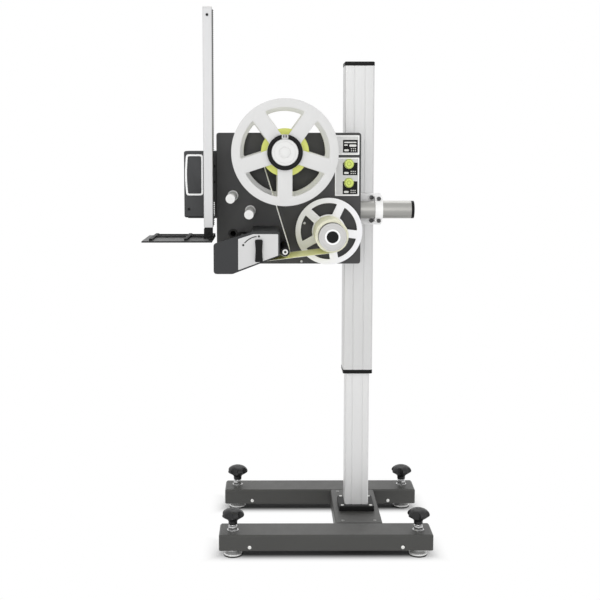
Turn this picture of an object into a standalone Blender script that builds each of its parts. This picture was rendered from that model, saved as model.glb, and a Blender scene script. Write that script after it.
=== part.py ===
import bpy
import bmesh
from math import pi, sin, cos, asin, atan2, hypot, radians
from mathutils import Matrix, Vector

# Label applicator on a telescopic column stand. Metres, +Z up, front towards -Y.
# X, Y and Z below are measured from the column axis on the floor unless a name says otherwise.

GAP = 0.0003                      # air left between pieces that touch
SUNK = 0.002                      # how far a fused form reaches into its body
SHARP = 0.0005                    # radius of a corner that is only deburred
SMOOTH_ANGLE = radians(32)

# Base
LEG_LENGTH = 0.600
LEG_DEPTH = 0.100
LEG_CENTRE_X = -0.100
LEG_CENTRE_Y = 0.200
LEG_BOTTOM = 0.028
LEG_TOP = 0.073
SHEET = 0.004
BEND = 0.006                      # outside radius of a folded edge
CROSS_WIDTH = 0.136
FOOT_PLATE = 0.105
FOOT_PLATE_TOP = 0.088

# Wheels and jack feet
WHEEL_RADIUS = 0.024
WHEEL_WIDTH = 0.040
WHEEL_CHAMFER = 0.003
WHEEL_SPREAD = 0.214              # from the middle of a leg
AXLE_HEIGHT = 0.038
AXLE_RADIUS = 0.006
AXLE_PROUD = 0.001
JACK_SPREAD = 0.262
JACK_Y = 0.207
SPINDLE_RADIUS = 0.008
FOOT_SOCKET = 0.012
FOOT_PROFILE = ((0.0125, 0.024), (0.014, 0.013), (0.026, 0.009), (0.026, 0.001), (0.025, 0.0))
STEM_RADIUS = 0.0125
STEM_LOW, STEM_HIGH = 0.090, 0.103
KNOB_RADIUS = 0.027
KNOB_LOBE = 0.005
KNOB_LOBES = 5
KNOB_DOME = ((0.66, 0.105), (0.95, 0.110), (1.0, 0.118), (0.84, 0.129), (0.42, 0.135))

# Column
INNER_WIDTH = 0.070
INNER_TOP = 0.938
OUTER_WIDTH = 0.085
OUTER_BOTTOM = 0.498
OUTER_TOP = 1.380
COLUMN_WALL = 0.005
COLUMN_CORNER = 0.005
GROOVE_OFFSET = 0.015
GROOVE_WIDTH = 0.003
GROOVE_DEPTH = 0.0015
CAP_HEIGHT = 0.0115
CAP_PROUD = 0.001                 # cap and collar against the tube's width
CAP_CORNER = 0.006
CAP_EDGE = 0.002
PLUG_DEPTH = 0.012
PLUG_CORNER = 0.002
COLLAR_HEIGHT = 0.011

# Boom and its clamp
BOOM_Y = -0.090
BOOM_Z = 0.972
BOOM_RADIUS = 0.025
BOOM_WALL = 0.004
BOOM_LEFT = -0.155
BOOM_RIGHT = 0.1525
BOOM_CAP = 0.0077
BOOM_EDGE = 0.001
CLAMP_PLATE = 0.018
CLAMP_HEIGHT = 0.090
CLAMP_HALF_WIDTH = 0.063
CLAMP_CORNER = 0.004
SADDLE_WIDTH = 0.022
SADDLE_HALF_HEIGHT = 0.0365
CLAMP_CAP_RADIUS = 0.029
CLAMP_EAR = 0.009
HUB_LEFT = -0.150
HUB_RIGHT = -0.100
HUB_REAR = 0.038                  # behind the boom axis
HUB_HALF_HEIGHT = 0.041
HUB_FRONT_CORNER, HUB_REAR_CORNER = 0.002, 0.022

# Head. Places on it are (x, height, distance in front of the main plate's face).
FACE_Y = -0.135
PLATE_LEFT, PLATE_RIGHT = -0.406, -0.002
PLATE_LOW, PLATE_HIGH = 0.822, 1.189
PLATE_THICK = 0.010
PLATE_CORNER = 0.007

# Reels and rollers
REEL = (-0.2167, 1.136)
REEL_RADIUS = 0.1405
REEL_RIM = 0.023
REEL_SPOKE = 0.039
REEL_REAR = 0.024
REEL_FRONT = 0.195
FLANGE = 0.005
SPOKES = 5
SPOKE_ROOT = 0.047                # radius of the ring that the spokes leave
CORE_RADIUS = 0.038
CORE_FLANGE, CORE_REAR = 0.048, 0.010
CORE_RECESS = 0.0005
HUB_RING_RADIUS, HUB_RING_FRONT = 0.0465, 0.203
HUB_CAP_RADIUS, HUB_CAP_FRONT = 0.0353, 0.2005
HUB_EDGE = 0.0015
LATCH_RADIUS, LATCH_PROUD = 0.014, 0.001
LABEL_RADIUS = 0.063
SPINDLE_SHAFT = 0.010
SPINDLE_COLLAR, SPINDLE_COLLAR_FRONT = 0.022, 0.006
SPINDLE_RECESS = 0.004
REWIND = (-0.0925, 0.916)
REWIND_RADIUS = 0.093
REWIND_RIM = 0.0145
REWIND_SPOKE = 0.023
REWIND_TURN = radians(65.0)
REWIND_REAR = 0.025
REWIND_NECK = 0.020
REWIND_COLLAR, REWIND_COLLAR_REAR = 0.030, 0.003
REWIND_SHAFT_REAR = -0.026
MANDREL_RADIUS = 0.0365
MANDREL_FRONT = 0.223
MANDREL_HOLLOW, MANDREL_HOLLOW_DEPTH = 0.0157, 0.0025
LINER_RADIUS = 0.044
IDLE_UPPER = (-0.3606, 1.0138)
IDLE_LOWER = (-0.3118, 0.9719)
IDLE_RADIUS = 0.0125
IDLE_FRONT = 0.180
DEFLECT = (-0.216, 0.8744)
DEFLECT_RADIUS = 0.012
DRIVE = (-0.262, 0.868)
DRIVE_RADIUS = 0.017
DRIVE_FRONT = 0.188
PEEL = (-0.397, 0.860)
PEEL_RADIUS = 0.002
PEEL_END = -0.287
ROLLER_REAR = 0.002
ROLLER_EDGE = 0.001
STUB = 0.005
SHAFT_STUB = 0.008

# Carrier web
WEB_THICK = 0.0006
WEB_STEP = radians(18)            # turn of the web between two points of a bend
WEB_REAR, WEB_FRONT = 0.031, 0.188

# Dispensing head
COVER_REAR, COVER_FRONT = 0.191, 0.195
COVER_OUTLINE = ((-0.405, 0.896, 0.008), (-0.302, 0.928, 0.012), (-0.230, 0.928, 0.007),
                 (-0.230, 0.864, 0.002), (-0.355, 0.816, 0.014), (-0.405, 0.816, 0.008))
HOOD_LEFT, HOOD_RIGHT = (-0.398, 0.8962), (-0.3066, 0.9245)
HOOD_THICK, HOOD_DEPTH = 0.0036, 0.030
BOX = (-0.306, -0.232, 0.893, 0.929)
BOX_CORNER = 0.006
PANEL_THICK = 0.0013
PANEL_OUTLINE = ((-0.340, 0.909, 0.0015), (-0.300, 0.922, 0.006), (-0.2345, 0.922, 0.0025),
                 (-0.2345, 0.8655, 0.0015), (-0.340, 0.8265, 0.0015))
LEVER_PIVOT = (-0.2853, 0.8677)
LEVER_WIDTH, LEVER_LOW, LEVER_HIGH = 0.021, -0.0187, 0.0403
LEVER_THICK = 0.010
LEVER_WAIST, LEVER_WAIST_HEIGHT = 0.017, 0.010
LEVER_FOOT_CORNER, LEVER_TOP_CORNER, LEVER_SIDE = 0.003, 0.004, 0.020
LEVER_PIN = 0.004

# Controls
CONTROL_LEFT, CONTROL_RIGHT = -0.075, -0.007
CONTROL_THICK = 0.0015
CONTROL_CORNER = 0.002
UPPER_PLATE = (1.1275, 1.182)
LOWER_PLATE = (1.013, 1.120)
BUTTON_X = -0.036
BUTTON_HEIGHTS = (1.1024, 1.0498)
BUTTON_RADIUS = 0.0125
BUTTON_STEM = 0.006
BUTTON_REAR, BUTTON_FRONT = 0.0053, 0.011
BUTTON_STEM_REAR = -0.009
BUTTON_EDGE = 0.0015

# Tamp axis
RAIL_X = -0.421
RAIL_WIDTH, RAIL_DEPTH = 0.024, 0.040
RAIL_LOW, RAIL_HIGH = 0.9355, 1.514
RAIL_REAR = 0.105
RAIL_CORNER = 0.002
RAIL_GROOVE, RAIL_GROOVE_DEPTH = 0.008, 0.003
RAIL_FOOT_INSET, RAIL_FOOT_CORNER = 0.002, 0.004
DRIVE_BOX = (-0.489, -0.420, 0.959, 1.139)
DRIVE_BOX_FRONT = 0.095
DRIVE_BOX_CORNER, DRIVE_BOX_EDGE = 0.005, 0.003
GUIDE_INSET, GUIDE_HEIGHT = 0.012, 0.040
BRACKET = (-0.489, -0.380, 0.950, 1.139)
BRACKET_THICK = 0.008
BRACKET_CORNER = 0.004
BRACKET_SLOT = (-0.4195, -0.4125, 0.956, 0.998)
BRACKET_SLOT_CORNER = 0.003
FRAME = (-0.487, -0.437, 1.019, 1.130)
FRAME_BORDER = 0.005
FRAME_THICK = 0.0035
FRAME_CORNER, FRAME_WINDOW_CORNER = 0.007, 0.004
FRAME_BULGE, FRAME_SWEEP = 0.004, 0.4
PAD_LEFT, PAD_RIGHT = -0.5925, -0.408
PAD_REAR, PAD_FRONT = 0.025, 0.212
PAD_LOW, PAD_TOP = 0.901, 0.905
RIB_TOP, RIB_WIDTH = 0.911, 0.009
RIB_PLACES = (-0.569, -0.477, -0.413)
RIB_INSET = 0.004
BAR_PLACES = (0.035, 0.100)
BAR_TOP = 0.909

# Behind the plate
REAR_COVER = (-0.375, -0.160, 0.828, 1.176)
REAR_COVER_DEPTH = 0.095
REAR_COVER_WALL, REAR_COVER_CORNER = 0.003, 0.012
BELT_COVER = (-0.1597, -0.055, 0.882, 0.9295)
BELT_COVER_DEPTH = 0.021
BELT_COVER_WALL, BELT_COVER_CORNER = 0.002, 0.008
MOTOR_SIDE, MOTOR_LENGTH, MOTOR_CORNER = 0.056, 0.060, 0.006
CABLE_HOLE = (-0.360, 0.907, 0.011)

# The part's origin is under the middle of its outline.
COLUMN_X = -(PAD_LEFT + LEG_CENTRE_X + LEG_LENGTH / 2) / 2
COLUMN_Y = -(FACE_Y - MANDREL_FRONT + LEG_CENTRE_Y + LEG_DEPTH / 2 + AXLE_PROUD) / 2

FACING_FRONT = (pi / 2, 0, 0)     # local z towards the front, local y up
FACING_RIGHT = (pi / 2, 0, pi / 2)  # local x to the rear, local y up, local z to the right

# Finishes: colour, roughness, metallic
DARK_PAINT = ((0.13, 0.13, 0.13), 0.45, 0.2)
BLACK_PLATE = ((0.045, 0.045, 0.046), 0.5, 0.0)
BLACK_PLASTIC = ((0.02, 0.02, 0.02), 0.4, 0.0)
HOUSING = ((0.06, 0.06, 0.065), 0.45, 0.0)
ALUMINIUM = ((0.72, 0.72, 0.73), 0.35, 1.0)
STEEL = ((0.55, 0.55, 0.54), 0.25, 1.0)
REEL_GREY = ((0.78, 0.78, 0.78), 0.45, 0.0)
LIME = ((0.62, 0.80, 0.16), 0.5, 0.0)
SILVER = ((0.70, 0.71, 0.72), 0.4, 0.6)
RUBBER = ((0.03, 0.03, 0.03), 0.8, 0.0)


def clear_scene():
    for item in list(bpy.data.objects):
        bpy.data.objects.remove(item, do_unlink=True)


def finished(name, finish):
    colour, roughness, metallic = finish
    material = bpy.data.materials.new(name)
    material.use_nodes = True
    shader = material.node_tree.nodes["Principled BSDF"]
    shader.inputs["Base Color"].default_value = (*colour, 1.0)
    shader.inputs["Roughness"].default_value = roughness
    shader.inputs["Metallic"].default_value = metallic
    return material


def place(bm, name, parent, at=(0, 0, 0), turn=(0, 0, 0)):
    bmesh.ops.recalc_face_normals(bm, faces=bm.faces)
    mesh = bpy.data.meshes.new(name)
    bm.to_mesh(mesh)
    bm.free()
    mesh.shade_smooth()
    mesh.set_sharp_from_angle(angle=SMOOTH_ANGLE)
    item = bpy.data.objects.new(name, mesh)
    bpy.context.collection.objects.link(item)
    item.parent = parent
    item.location = at
    item.rotation_euler = turn
    return item


def add_part(bm, name, finish, parent, at=(0, 0, 0), turn=(0, 0, 0)):
    part = place(bm, name, parent, at, turn)
    part.data.materials.append(finished(name, finish))
    return part


def pivot(name, parent, at, turn=(0, 0, 0)):
    empty = bpy.data.objects.new(name, None)
    bpy.context.collection.objects.link(empty)
    empty.parent = parent
    empty.location = at
    empty.rotation_euler = turn
    return empty


def combine(part, bm, operation, at=(0, 0, 0), turn=(0, 0, 0)):
    tool = place(bm, part.name + "_tool", part, at, turn)
    tool.hide_render = True
    tool.display_type = "WIRE"
    step = part.modifiers.new(operation.title(), "BOOLEAN")
    step.operation = operation
    step.solver = "EXACT"
    step.object = tool


def circle(radius, centre=(0, 0), steps=32):
    turns = [2 * pi * k / steps for k in range(steps)]
    return [(centre[0] + radius * cos(t), centre[1] + radius * sin(t)) for t in turns]


def arc(centre, radius, first, last, steps):
    turns = [first + (last - first) * k / steps for k in range(steps + 1)]
    return [(centre[0] + radius * cos(t), centre[1] + radius * sin(t)) for t in turns]


def fillet(corners, steps=3):
    # Outline through (x, y, radius) corners, each rounded by an arc.
    outline = []
    count = len(corners)
    for k, (x, y, radius) in enumerate(corners):
        here = Vector((x, y))
        back = (Vector(corners[k - 1][:2]) - here).normalized()
        ahead = (Vector(corners[(k + 1) % count][:2]) - here).normalized()
        half = back.angle(ahead) / 2
        reach = radius / max(1e-9, abs(sin(half) / cos(half)))
        middle = here + (back + ahead).normalized() * (radius / sin(half))
        first, last = here + back * reach - middle, here + ahead * reach - middle
        start, end = atan2(first.y, first.x), atan2(last.y, last.x)
        sweep = (end - start + pi) % (2 * pi) - pi
        outline += arc(middle, radius, start, start + sweep, steps)
    return outline


def rounded(left, right, low, high, radius, steps=3):
    return fillet([(left, low, radius), (right, low, radius), (right, high, radius),
                   (left, high, radius)], steps)


def square(width, radius, steps=3):
    return rounded(-width / 2, width / 2, -width / 2, width / 2, radius, steps)


def prism(loops, low, high):
    # Flat outline with holes, filled and drawn out along z from low to high.
    bm = bmesh.new()
    edges = []
    for loop in loops:
        ring = [bm.verts.new((x, y, low)) for x, y in loop]
        edges += [bm.edges.new(pair) for pair in zip(ring, ring[1:] + ring[:1])]
    bmesh.ops.triangle_fill(bm, edges=edges, use_beauty=True)
    drawn = bmesh.ops.extrude_face_region(bm, geom=bm.faces[:])
    tops = [item for item in drawn["geom"] if isinstance(item, bmesh.types.BMVert)]
    bmesh.ops.translate(bm, verts=tops, vec=(0, 0, high - low))
    return bm


def turned(profile, steps=32):
    # Profile of (radius, along) points spun about z.
    bm = bmesh.new()
    points = [bm.verts.new((radius, 0, along)) for radius, along in profile]
    edges = []
    for a, b in zip(points, points[1:] + points[:1]):
        if a.co.x > 0 or b.co.x > 0:
            edges.append(bm.edges.new((a, b)))
    bmesh.ops.spin(bm, geom=points + edges, axis=(0, 0, 1), cent=(0, 0, 0), steps=steps,
                   angle=2 * pi, use_merge=True)
    bmesh.ops.remove_doubles(bm, verts=bm.verts, dist=1e-6)
    return bm


def lofted(rings):
    # Closed skin through rings of (outline, height) with equal point counts.
    bm = bmesh.new()
    loops = [[bm.verts.new((x, y, height)) for x, y in outline] for outline, height in rings]
    for low, high in zip(loops, loops[1:]):
        for k in range(len(low)):
            bm.faces.new((low[k - 1], low[k], high[k], high[k - 1]))
    bm.faces.new(loops[0])
    bm.faces.new(loops[-1])
    return bm


def box(left, right, near, far, low, high):
    bm = bmesh.new()
    size = (right - left, far - near, high - low)
    middle = ((left + right) / 2, (near + far) / 2, (low + high) / 2)
    bmesh.ops.create_cube(bm, size=1, matrix=Matrix.LocRotScale(middle, None, size))
    return bm


def shell_box(left, right, low, high, depth, wall, corner):
    # Tray with rounded corners, open towards +z at z = 0.
    outside = rounded(left, right, low, high, corner)
    inside = rounded(left + wall, right - wall, low + wall, high - wall, corner - wall)
    return lofted([(inside, wall - depth), (inside, 0), (outside, 0), (outside, wall - depth),
                   (inside, -depth)])


def leg(name, y, stand):
    left, right = LEG_CENTRE_X - LEG_LENGTH / 2, LEG_CENTRE_X + LEG_LENGTH / 2
    near, far = y - LEG_DEPTH / 2, y + LEG_DEPTH / 2
    tray = shell_box(left, right, near, far, LEG_TOP - LEG_BOTTOM, SHEET, BEND)
    bmesh.ops.scale(tray, verts=tray.verts, vec=(1, 1, -1))
    bmesh.ops.translate(tray, verts=tray.verts, vec=(0, 0, LEG_BOTTOM))
    part = add_part(tray, name, DARK_PAINT, stand)
    for side in (-1, 1):
        axle = prism([circle(AXLE_RADIUS, steps=12)], near - AXLE_PROUD, far + AXLE_PROUD)
        combine(part, axle, "UNION", (LEG_CENTRE_X + side * WHEEL_SPREAD, 0, AXLE_HEIGHT), (-pi / 2, 0, 0))
        hole = prism([circle(SPINDLE_RADIUS + GAP, steps=16)], LEG_BOTTOM, LEG_TOP + SHEET)
        jack_y = JACK_Y if y > 0 else -JACK_Y
        combine(part, hole, "DIFFERENCE", (LEG_CENTRE_X + side * JACK_SPREAD, jack_y, 0))


def cross_member(stand):
    half, reach = CROSS_WIDTH / 2, LEG_CENTRE_Y - LEG_DEPTH / 2 - GAP
    inside, under = half - SHEET, LEG_TOP - SHEET
    outline = fillet([(-half, LEG_BOTTOM, SHARP), (-half, LEG_TOP, BEND), (half, LEG_TOP, BEND),
                      (half, LEG_BOTTOM, SHARP), (inside, LEG_BOTTOM, SHARP), (inside, under, BEND - SHEET),
                      (-inside, under, BEND - SHEET), (-inside, LEG_BOTTOM, SHARP)])
    add_part(prism([outline], -reach, reach), "cross_member", DARK_PAINT, stand, turn=FACING_FRONT)


def column_profile(width, wall):
    # Rounded square tube with two shallow grooves in each face.
    half, reach = width / 2, GROOVE_WIDTH / 2
    outline = []
    for quarter in range(4):
        turn = Matrix.Rotation(quarter * pi / 2, 2)
        side = arc((COLUMN_CORNER - half, COLUMN_CORNER - half), COLUMN_CORNER, pi, 1.5 * pi, 4)
        for middle in (-GROOVE_OFFSET, GROOVE_OFFSET):
            side += [(middle - reach, -half), (middle - reach, GROOVE_DEPTH - half),
                     (middle + reach, GROOVE_DEPTH - half), (middle + reach, -half)]
        outline += [tuple(turn @ Vector(point)) for point in side]
    return [outline, square(width - 2 * wall, COLUMN_CORNER / 2)]


def eased_top(width, low, high):
    # Rings of a square block whose upper edge is chamfered.
    full, small = square(width, CAP_CORNER), square(width - 2 * CAP_EDGE, CAP_CORNER - CAP_EDGE)
    return [(full, low), (full, high - CAP_EDGE), (small, high)]


def column(stand, lift):
    add_part(lofted(eased_top(FOOT_PLATE, LEG_TOP + GAP, FOOT_PLATE_TOP)), "column_foot_plate",
             BLACK_PLASTIC, stand)
    add_part(prism(column_profile(INNER_WIDTH, COLUMN_WALL), FOOT_PLATE_TOP + GAP, INNER_TOP),
             "inner_column", ALUMINIUM, stand)
    add_part(prism(column_profile(OUTER_WIDTH, COLUMN_WALL), OUTER_BOTTOM, OUTER_TOP),
             "outer_column", ALUMINIUM, lift)
    plug = square(OUTER_WIDTH - 2 * COLUMN_WALL - 2 * GAP, PLUG_CORNER)
    rim, seat = OUTER_WIDTH + CAP_PROUD, OUTER_TOP + GAP
    cap = [(plug, seat - PLUG_DEPTH), (plug, seat)] + eased_top(rim, seat, seat + CAP_HEIGHT)
    add_part(lofted(cap), "column_top_cap", BLACK_PLASTIC, lift)
    guide = [square(rim, CAP_CORNER), square(INNER_WIDTH + 2 * GAP, COLUMN_CORNER)]
    add_part(prism(guide, OUTER_BOTTOM - GAP - COLLAR_HEIGHT, OUTER_BOTTOM - GAP),
             "column_collar", BLACK_PLASTIC, lift)


def wheel(name, x, y, stand):
    half, tread = WHEEL_WIDTH / 2, WHEEL_WIDTH / 2 - WHEEL_CHAMFER
    bore, side = AXLE_RADIUS + GAP, WHEEL_RADIUS - WHEEL_CHAMFER
    profile = [(bore, half), (side, half), (WHEEL_RADIUS, tread), (WHEEL_RADIUS, -tread), (side, -half),
               (bore, -half)]
    add_part(turned(profile, 20), name, RUBBER, stand, (x, y, AXLE_HEIGHT), FACING_FRONT)


def lobed(size):
    turns = [2 * pi * k / (4 * KNOB_LOBES) for k in range(4 * KNOB_LOBES)]
    reach = [size * (KNOB_RADIUS + KNOB_LOBE * cos(KNOB_LOBES * t)) for t in turns]
    return [(r * cos(t), r * sin(t)) for r, t in zip(reach, turns)]


def jack(place_name, x, y, stand):
    bore = SPINDLE_RADIUS + GAP
    disc = [(0, FOOT_SOCKET), (bore, FOOT_SOCKET), (bore, FOOT_PROFILE[0][1]), *FOOT_PROFILE, (0, 0)]
    foot = pivot("foot_" + place_name + "_pivot", stand, (x, y, 0))
    add_part(turned(disc, 18), "foot_" + place_name, STEEL, foot)
    rod = circle(SPINDLE_RADIUS, steps=4 * KNOB_LOBES)
    stem = circle(STEM_RADIUS, steps=4 * KNOB_LOBES)
    rings = [(rod, FOOT_SOCKET + GAP), (rod, STEM_LOW), (stem, STEM_LOW), (stem, STEM_HIGH)]
    rings += [(lobed(size), height) for size, height in KNOB_DOME]
    add_part(lofted(rings), "jack_" + place_name, BLACK_PLASTIC, foot)


def running_gear(stand):
    for depth, y in (("front", -1), ("rear", 1)):
        for hand, side in (("left", -1), ("right", 1)):
            place_name = depth + "_" + hand
            wheel("wheel_" + place_name, LEG_CENTRE_X + side * WHEEL_SPREAD, y * LEG_CENTRE_Y, stand)
            jack(place_name, LEG_CENTRE_X + side * JACK_SPREAD, y * JACK_Y, stand)


def clamp(lift):
    rear = -OUTER_WIDTH / 2 - GAP
    low, high = BOOM_Z - CLAMP_HEIGHT / 2, BOOM_Z + CLAMP_HEIGHT / 2
    flange = rounded(-CLAMP_HALF_WIDTH, CLAMP_HALF_WIDTH, low, high, CLAMP_CORNER)
    bracket = add_part(prism([flange], -rear, CLAMP_PLATE - rear), "clamp_bracket", ALUMINIUM, lift,
                       turn=FACING_FRONT)
    bore, tall, split = BOOM_RADIUS + GAP, SADDLE_HALF_HEIGHT, GAP / 2
    depth = rear - CLAMP_PLATE - BOOM_Y + SUNK
    dip = asin(split / bore)
    saddle = [(depth, -tall), (depth, tall), (split, tall)]
    saddle += arc((0, 0), bore, pi / 2 - dip, dip - pi / 2, 12) + [(split, -tall)]
    ear = asin(CLAMP_EAR / CLAMP_CAP_RADIUS)
    cap = [(-split, tall), (-CLAMP_EAR, tall)]
    cap += arc((0, 0), CLAMP_CAP_RADIUS, pi / 2 + ear, 1.5 * pi - ear, 14) + [(-CLAMP_EAR, -tall)]
    cap += [(-split, -tall)] + arc((0, 0), bore, 1.5 * pi - dip, pi / 2 + dip, 12)
    for hand, x in (("left", -CLAMP_HALF_WIDTH), ("right", CLAMP_HALF_WIDTH - SADDLE_WIDTH)):
        frame = Matrix.Translation((x, BOOM_Y, BOOM_Z)) @ Matrix(((0, 0, 1), (1, 0, 0), (0, 1, 0))).to_4x4()
        block = prism([saddle], 0, SADDLE_WIDTH)
        bmesh.ops.transform(block, verts=block.verts, matrix=bracket.matrix_basis.inverted() @ frame)
        combine(bracket, block, "UNION")
        add_part(prism([cap], 0, SADDLE_WIDTH), "clamp_cap_" + hand, ALUMINIUM, lift,
                 (x, BOOM_Y, BOOM_Z), FACING_RIGHT)


def boom_parts(boom):
    seat = BOOM_RIGHT - BOOM_CAP
    inner = BOOM_RADIUS - BOOM_WALL
    tube = [(inner, BOOM_LEFT), (BOOM_RADIUS, BOOM_LEFT), (BOOM_RADIUS, seat - GAP), (inner, seat - GAP)]
    along = (0, pi / 2, 0)
    add_part(turned(tube, 32), "boom_tube", STEEL, boom, turn=along)
    plug, plug_end = inner - GAP, seat - PLUG_DEPTH
    cap = [(0, plug_end), (plug, plug_end), (plug, seat), (BOOM_RADIUS, seat),
           (BOOM_RADIUS, BOOM_RIGHT - BOOM_EDGE), (BOOM_RADIUS - BOOM_EDGE, BOOM_RIGHT), (0, BOOM_RIGHT)]
    add_part(turned(cap, 32), "boom_end_cap", BLACK_PLASTIC, boom, turn=along)


def main_plate(face):
    outline = rounded(PLATE_LEFT, PLATE_RIGHT, PLATE_LOW, PLATE_HIGH, PLATE_CORNER)
    holes = [circle(SHAFT_STUB + GAP, at, 16) for at in (REEL, REWIND, DRIVE)]
    holes += [circle(STUB + GAP, at, 12) for at in (IDLE_UPPER, IDLE_LOWER, DEFLECT)]
    holes += [circle(BUTTON_STEM + GAP, (BUTTON_X, height), 12) for height in BUTTON_HEIGHTS]
    holes.append(circle(CABLE_HOLE[2], CABLE_HOLE[:2], 16))
    add_part(prism([outline] + holes, -PLATE_THICK, 0), "main_plate", BLACK_PLATE, face)


def rear_housing(head, face):
    back = -PLATE_THICK - GAP
    cover = shell_box(*REAR_COVER, REAR_COVER_DEPTH, REAR_COVER_WALL, REAR_COVER_CORNER)
    add_part(cover, "rear_cover", HOUSING, face, (0, 0, back))
    belt = shell_box(*BELT_COVER, BELT_COVER_DEPTH, BELT_COVER_WALL, BELT_COVER_CORNER)
    add_part(belt, "belt_cover", HOUSING, face, (0, 0, back))
    motor = prism([square(MOTOR_SIDE, MOTOR_CORNER)], back - MOTOR_LENGTH, back)
    add_part(motor, "drive_motor", STEEL, face, (*DRIVE, 0))
    front = FACE_Y + PLATE_THICK + GAP - BOOM_Y
    tall = HUB_HALF_HEIGHT
    outline = fillet([(front, -tall, HUB_FRONT_CORNER), (front, tall, HUB_FRONT_CORNER),
                      (HUB_REAR, tall, HUB_REAR_CORNER), (HUB_REAR, -tall, HUB_REAR_CORNER)], 5)
    bore = circle(BOOM_RADIUS + GAP, steps=32)
    add_part(prism([outline, bore], HUB_LEFT, HUB_RIGHT), "boom_hub", ALUMINIUM, head, turn=FACING_RIGHT)


def spoked_flange(radius, rim, spoke, bore, start):
    # Disc outline with windows between straight-sided spokes, and a round bore.
    outer, half, pitch = radius - rim, spoke / 2, 2 * pi / SPOKES
    loops = [circle(radius, steps=50), circle(bore, steps=24)]
    wide, narrow = asin(half / outer), asin(half / SPOKE_ROOT)
    for k in range(SPOKES):
        first, last = start + k * pitch, start + (k + 1) * pitch
        window = arc((0, 0), outer, first + wide, last - wide, 7)
        window += arc((0, 0), SPOKE_ROOT, last - narrow, first + narrow, 2)
        loops.append(window)
    return loops


def unwind_spindle(face, front):
    shaft, collar, collar_front = SPINDLE_SHAFT, SPINDLE_COLLAR, SPINDLE_COLLAR_FRONT
    profile = [(0, front), (0, -PLATE_THICK), (SHAFT_STUB, -PLATE_THICK), (SHAFT_STUB, GAP), (collar, GAP),
               (collar, collar_front), (shaft, collar_front), (shaft, front)]
    add_part(turned(profile, 16), "unwind_spindle", STEEL, face, (*REEL, 0))


def reel_hub(reel):
    rear, bore, edge = REEL_FRONT + GAP, HUB_CAP_RADIUS + GAP, HUB_EDGE
    ring = [(bore, rear), (HUB_RING_RADIUS, rear), (HUB_RING_RADIUS, HUB_RING_FRONT - edge),
            (HUB_RING_RADIUS - edge, HUB_RING_FRONT), (bore, HUB_RING_FRONT)]
    add_part(turned(ring, 36), "hub_ring", BLACK_PLASTIC, reel)
    latch = HUB_CAP_FRONT + LATCH_PROUD
    cap = [(0, rear), (HUB_CAP_RADIUS, rear), (HUB_CAP_RADIUS, HUB_CAP_FRONT - edge),
           (HUB_CAP_RADIUS - edge, HUB_CAP_FRONT), (LATCH_RADIUS, HUB_CAP_FRONT),
           (LATCH_RADIUS - LATCH_PROUD, latch), (0, latch)]
    add_part(turned(cap, 32), "hub_cap", REEL_GREY, reel)


def unwinder(face):
    core_end = REEL_FRONT - CORE_RECESS
    unwind_spindle(face, core_end - SPINDLE_RECESS)
    reel = pivot("unwind_pivot", face, (*REEL, 0))
    bore, seat = SPINDLE_SHAFT + GAP, REEL_REAR - GAP
    core = [(bore, core_end), (bore, CORE_REAR), (CORE_FLANGE, CORE_REAR), (CORE_FLANGE, seat),
            (CORE_RADIUS, seat), (CORE_RADIUS, core_end)]
    add_part(turned(core, 24), "reel_core", BLACK_PLASTIC, reel)
    flange = spoked_flange(REEL_RADIUS, REEL_RIM, REEL_SPOKE, CORE_RADIUS + GAP, -pi / 2)
    inner_face = REEL_FRONT - FLANGE
    add_part(prism(flange, REEL_REAR, REEL_REAR + FLANGE), "reel_rear_flange", REEL_GREY, reel)
    add_part(prism(flange, inner_face, REEL_FRONT), "reel_front_flange", REEL_GREY, reel)
    low, high = REEL_REAR + FLANGE + GAP, inner_face - GAP
    roll = [(CORE_RADIUS + GAP, low), (LABEL_RADIUS, low), (LABEL_RADIUS, high), (CORE_RADIUS + GAP, high)]
    add_part(turned(roll, 36), "label_roll", LIME, reel)
    reel_hub(reel)


def rewinder(face):
    reel = pivot("rewind_pivot", face, (*REWIND, 0))
    front, hollow = MANDREL_FRONT, MANDREL_FRONT - MANDREL_HOLLOW_DEPTH
    shoulder, seat = REWIND_REAR - GAP, REWIND_REAR + FLANGE + GAP
    mandrel = [(0, hollow), (0, REWIND_SHAFT_REAR), (SHAFT_STUB, REWIND_SHAFT_REAR),
               (SHAFT_STUB, REWIND_COLLAR_REAR), (REWIND_COLLAR, REWIND_COLLAR_REAR),
               (REWIND_COLLAR, shoulder), (REWIND_NECK, shoulder), (REWIND_NECK, seat),
               (MANDREL_RADIUS, seat), (MANDREL_RADIUS, front - HUB_EDGE), (MANDREL_RADIUS - HUB_EDGE, front),
               (MANDREL_HOLLOW, front), (MANDREL_HOLLOW, hollow)]
    add_part(turned(mandrel, 28), "rewind_mandrel", REEL_GREY, reel)
    flange = spoked_flange(REWIND_RADIUS, REWIND_RIM, REWIND_SPOKE, REWIND_NECK + GAP, REWIND_TURN)
    add_part(prism(flange, REWIND_REAR, REWIND_REAR + FLANGE), "rewind_flange", REEL_GREY, reel)
    bore, end = MANDREL_RADIUS + GAP, REEL_FRONT - FLANGE
    roll = [(bore, seat), (LINER_RADIUS, seat), (LINER_RADIUS, end), (bore, end)]
    add_part(turned(roll, 36), "liner_roll", LIME, reel)


def roller(name, at, radius, front, stub, finish, face):
    profile = [(0, front), (0, -PLATE_THICK), (stub, -PLATE_THICK), (stub, ROLLER_REAR),
               (radius, ROLLER_REAR), (radius, front - ROLLER_EDGE), (radius - ROLLER_EDGE, front)]
    add_part(turned(profile, 24), name, finish, face, (*at, 0))


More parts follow.
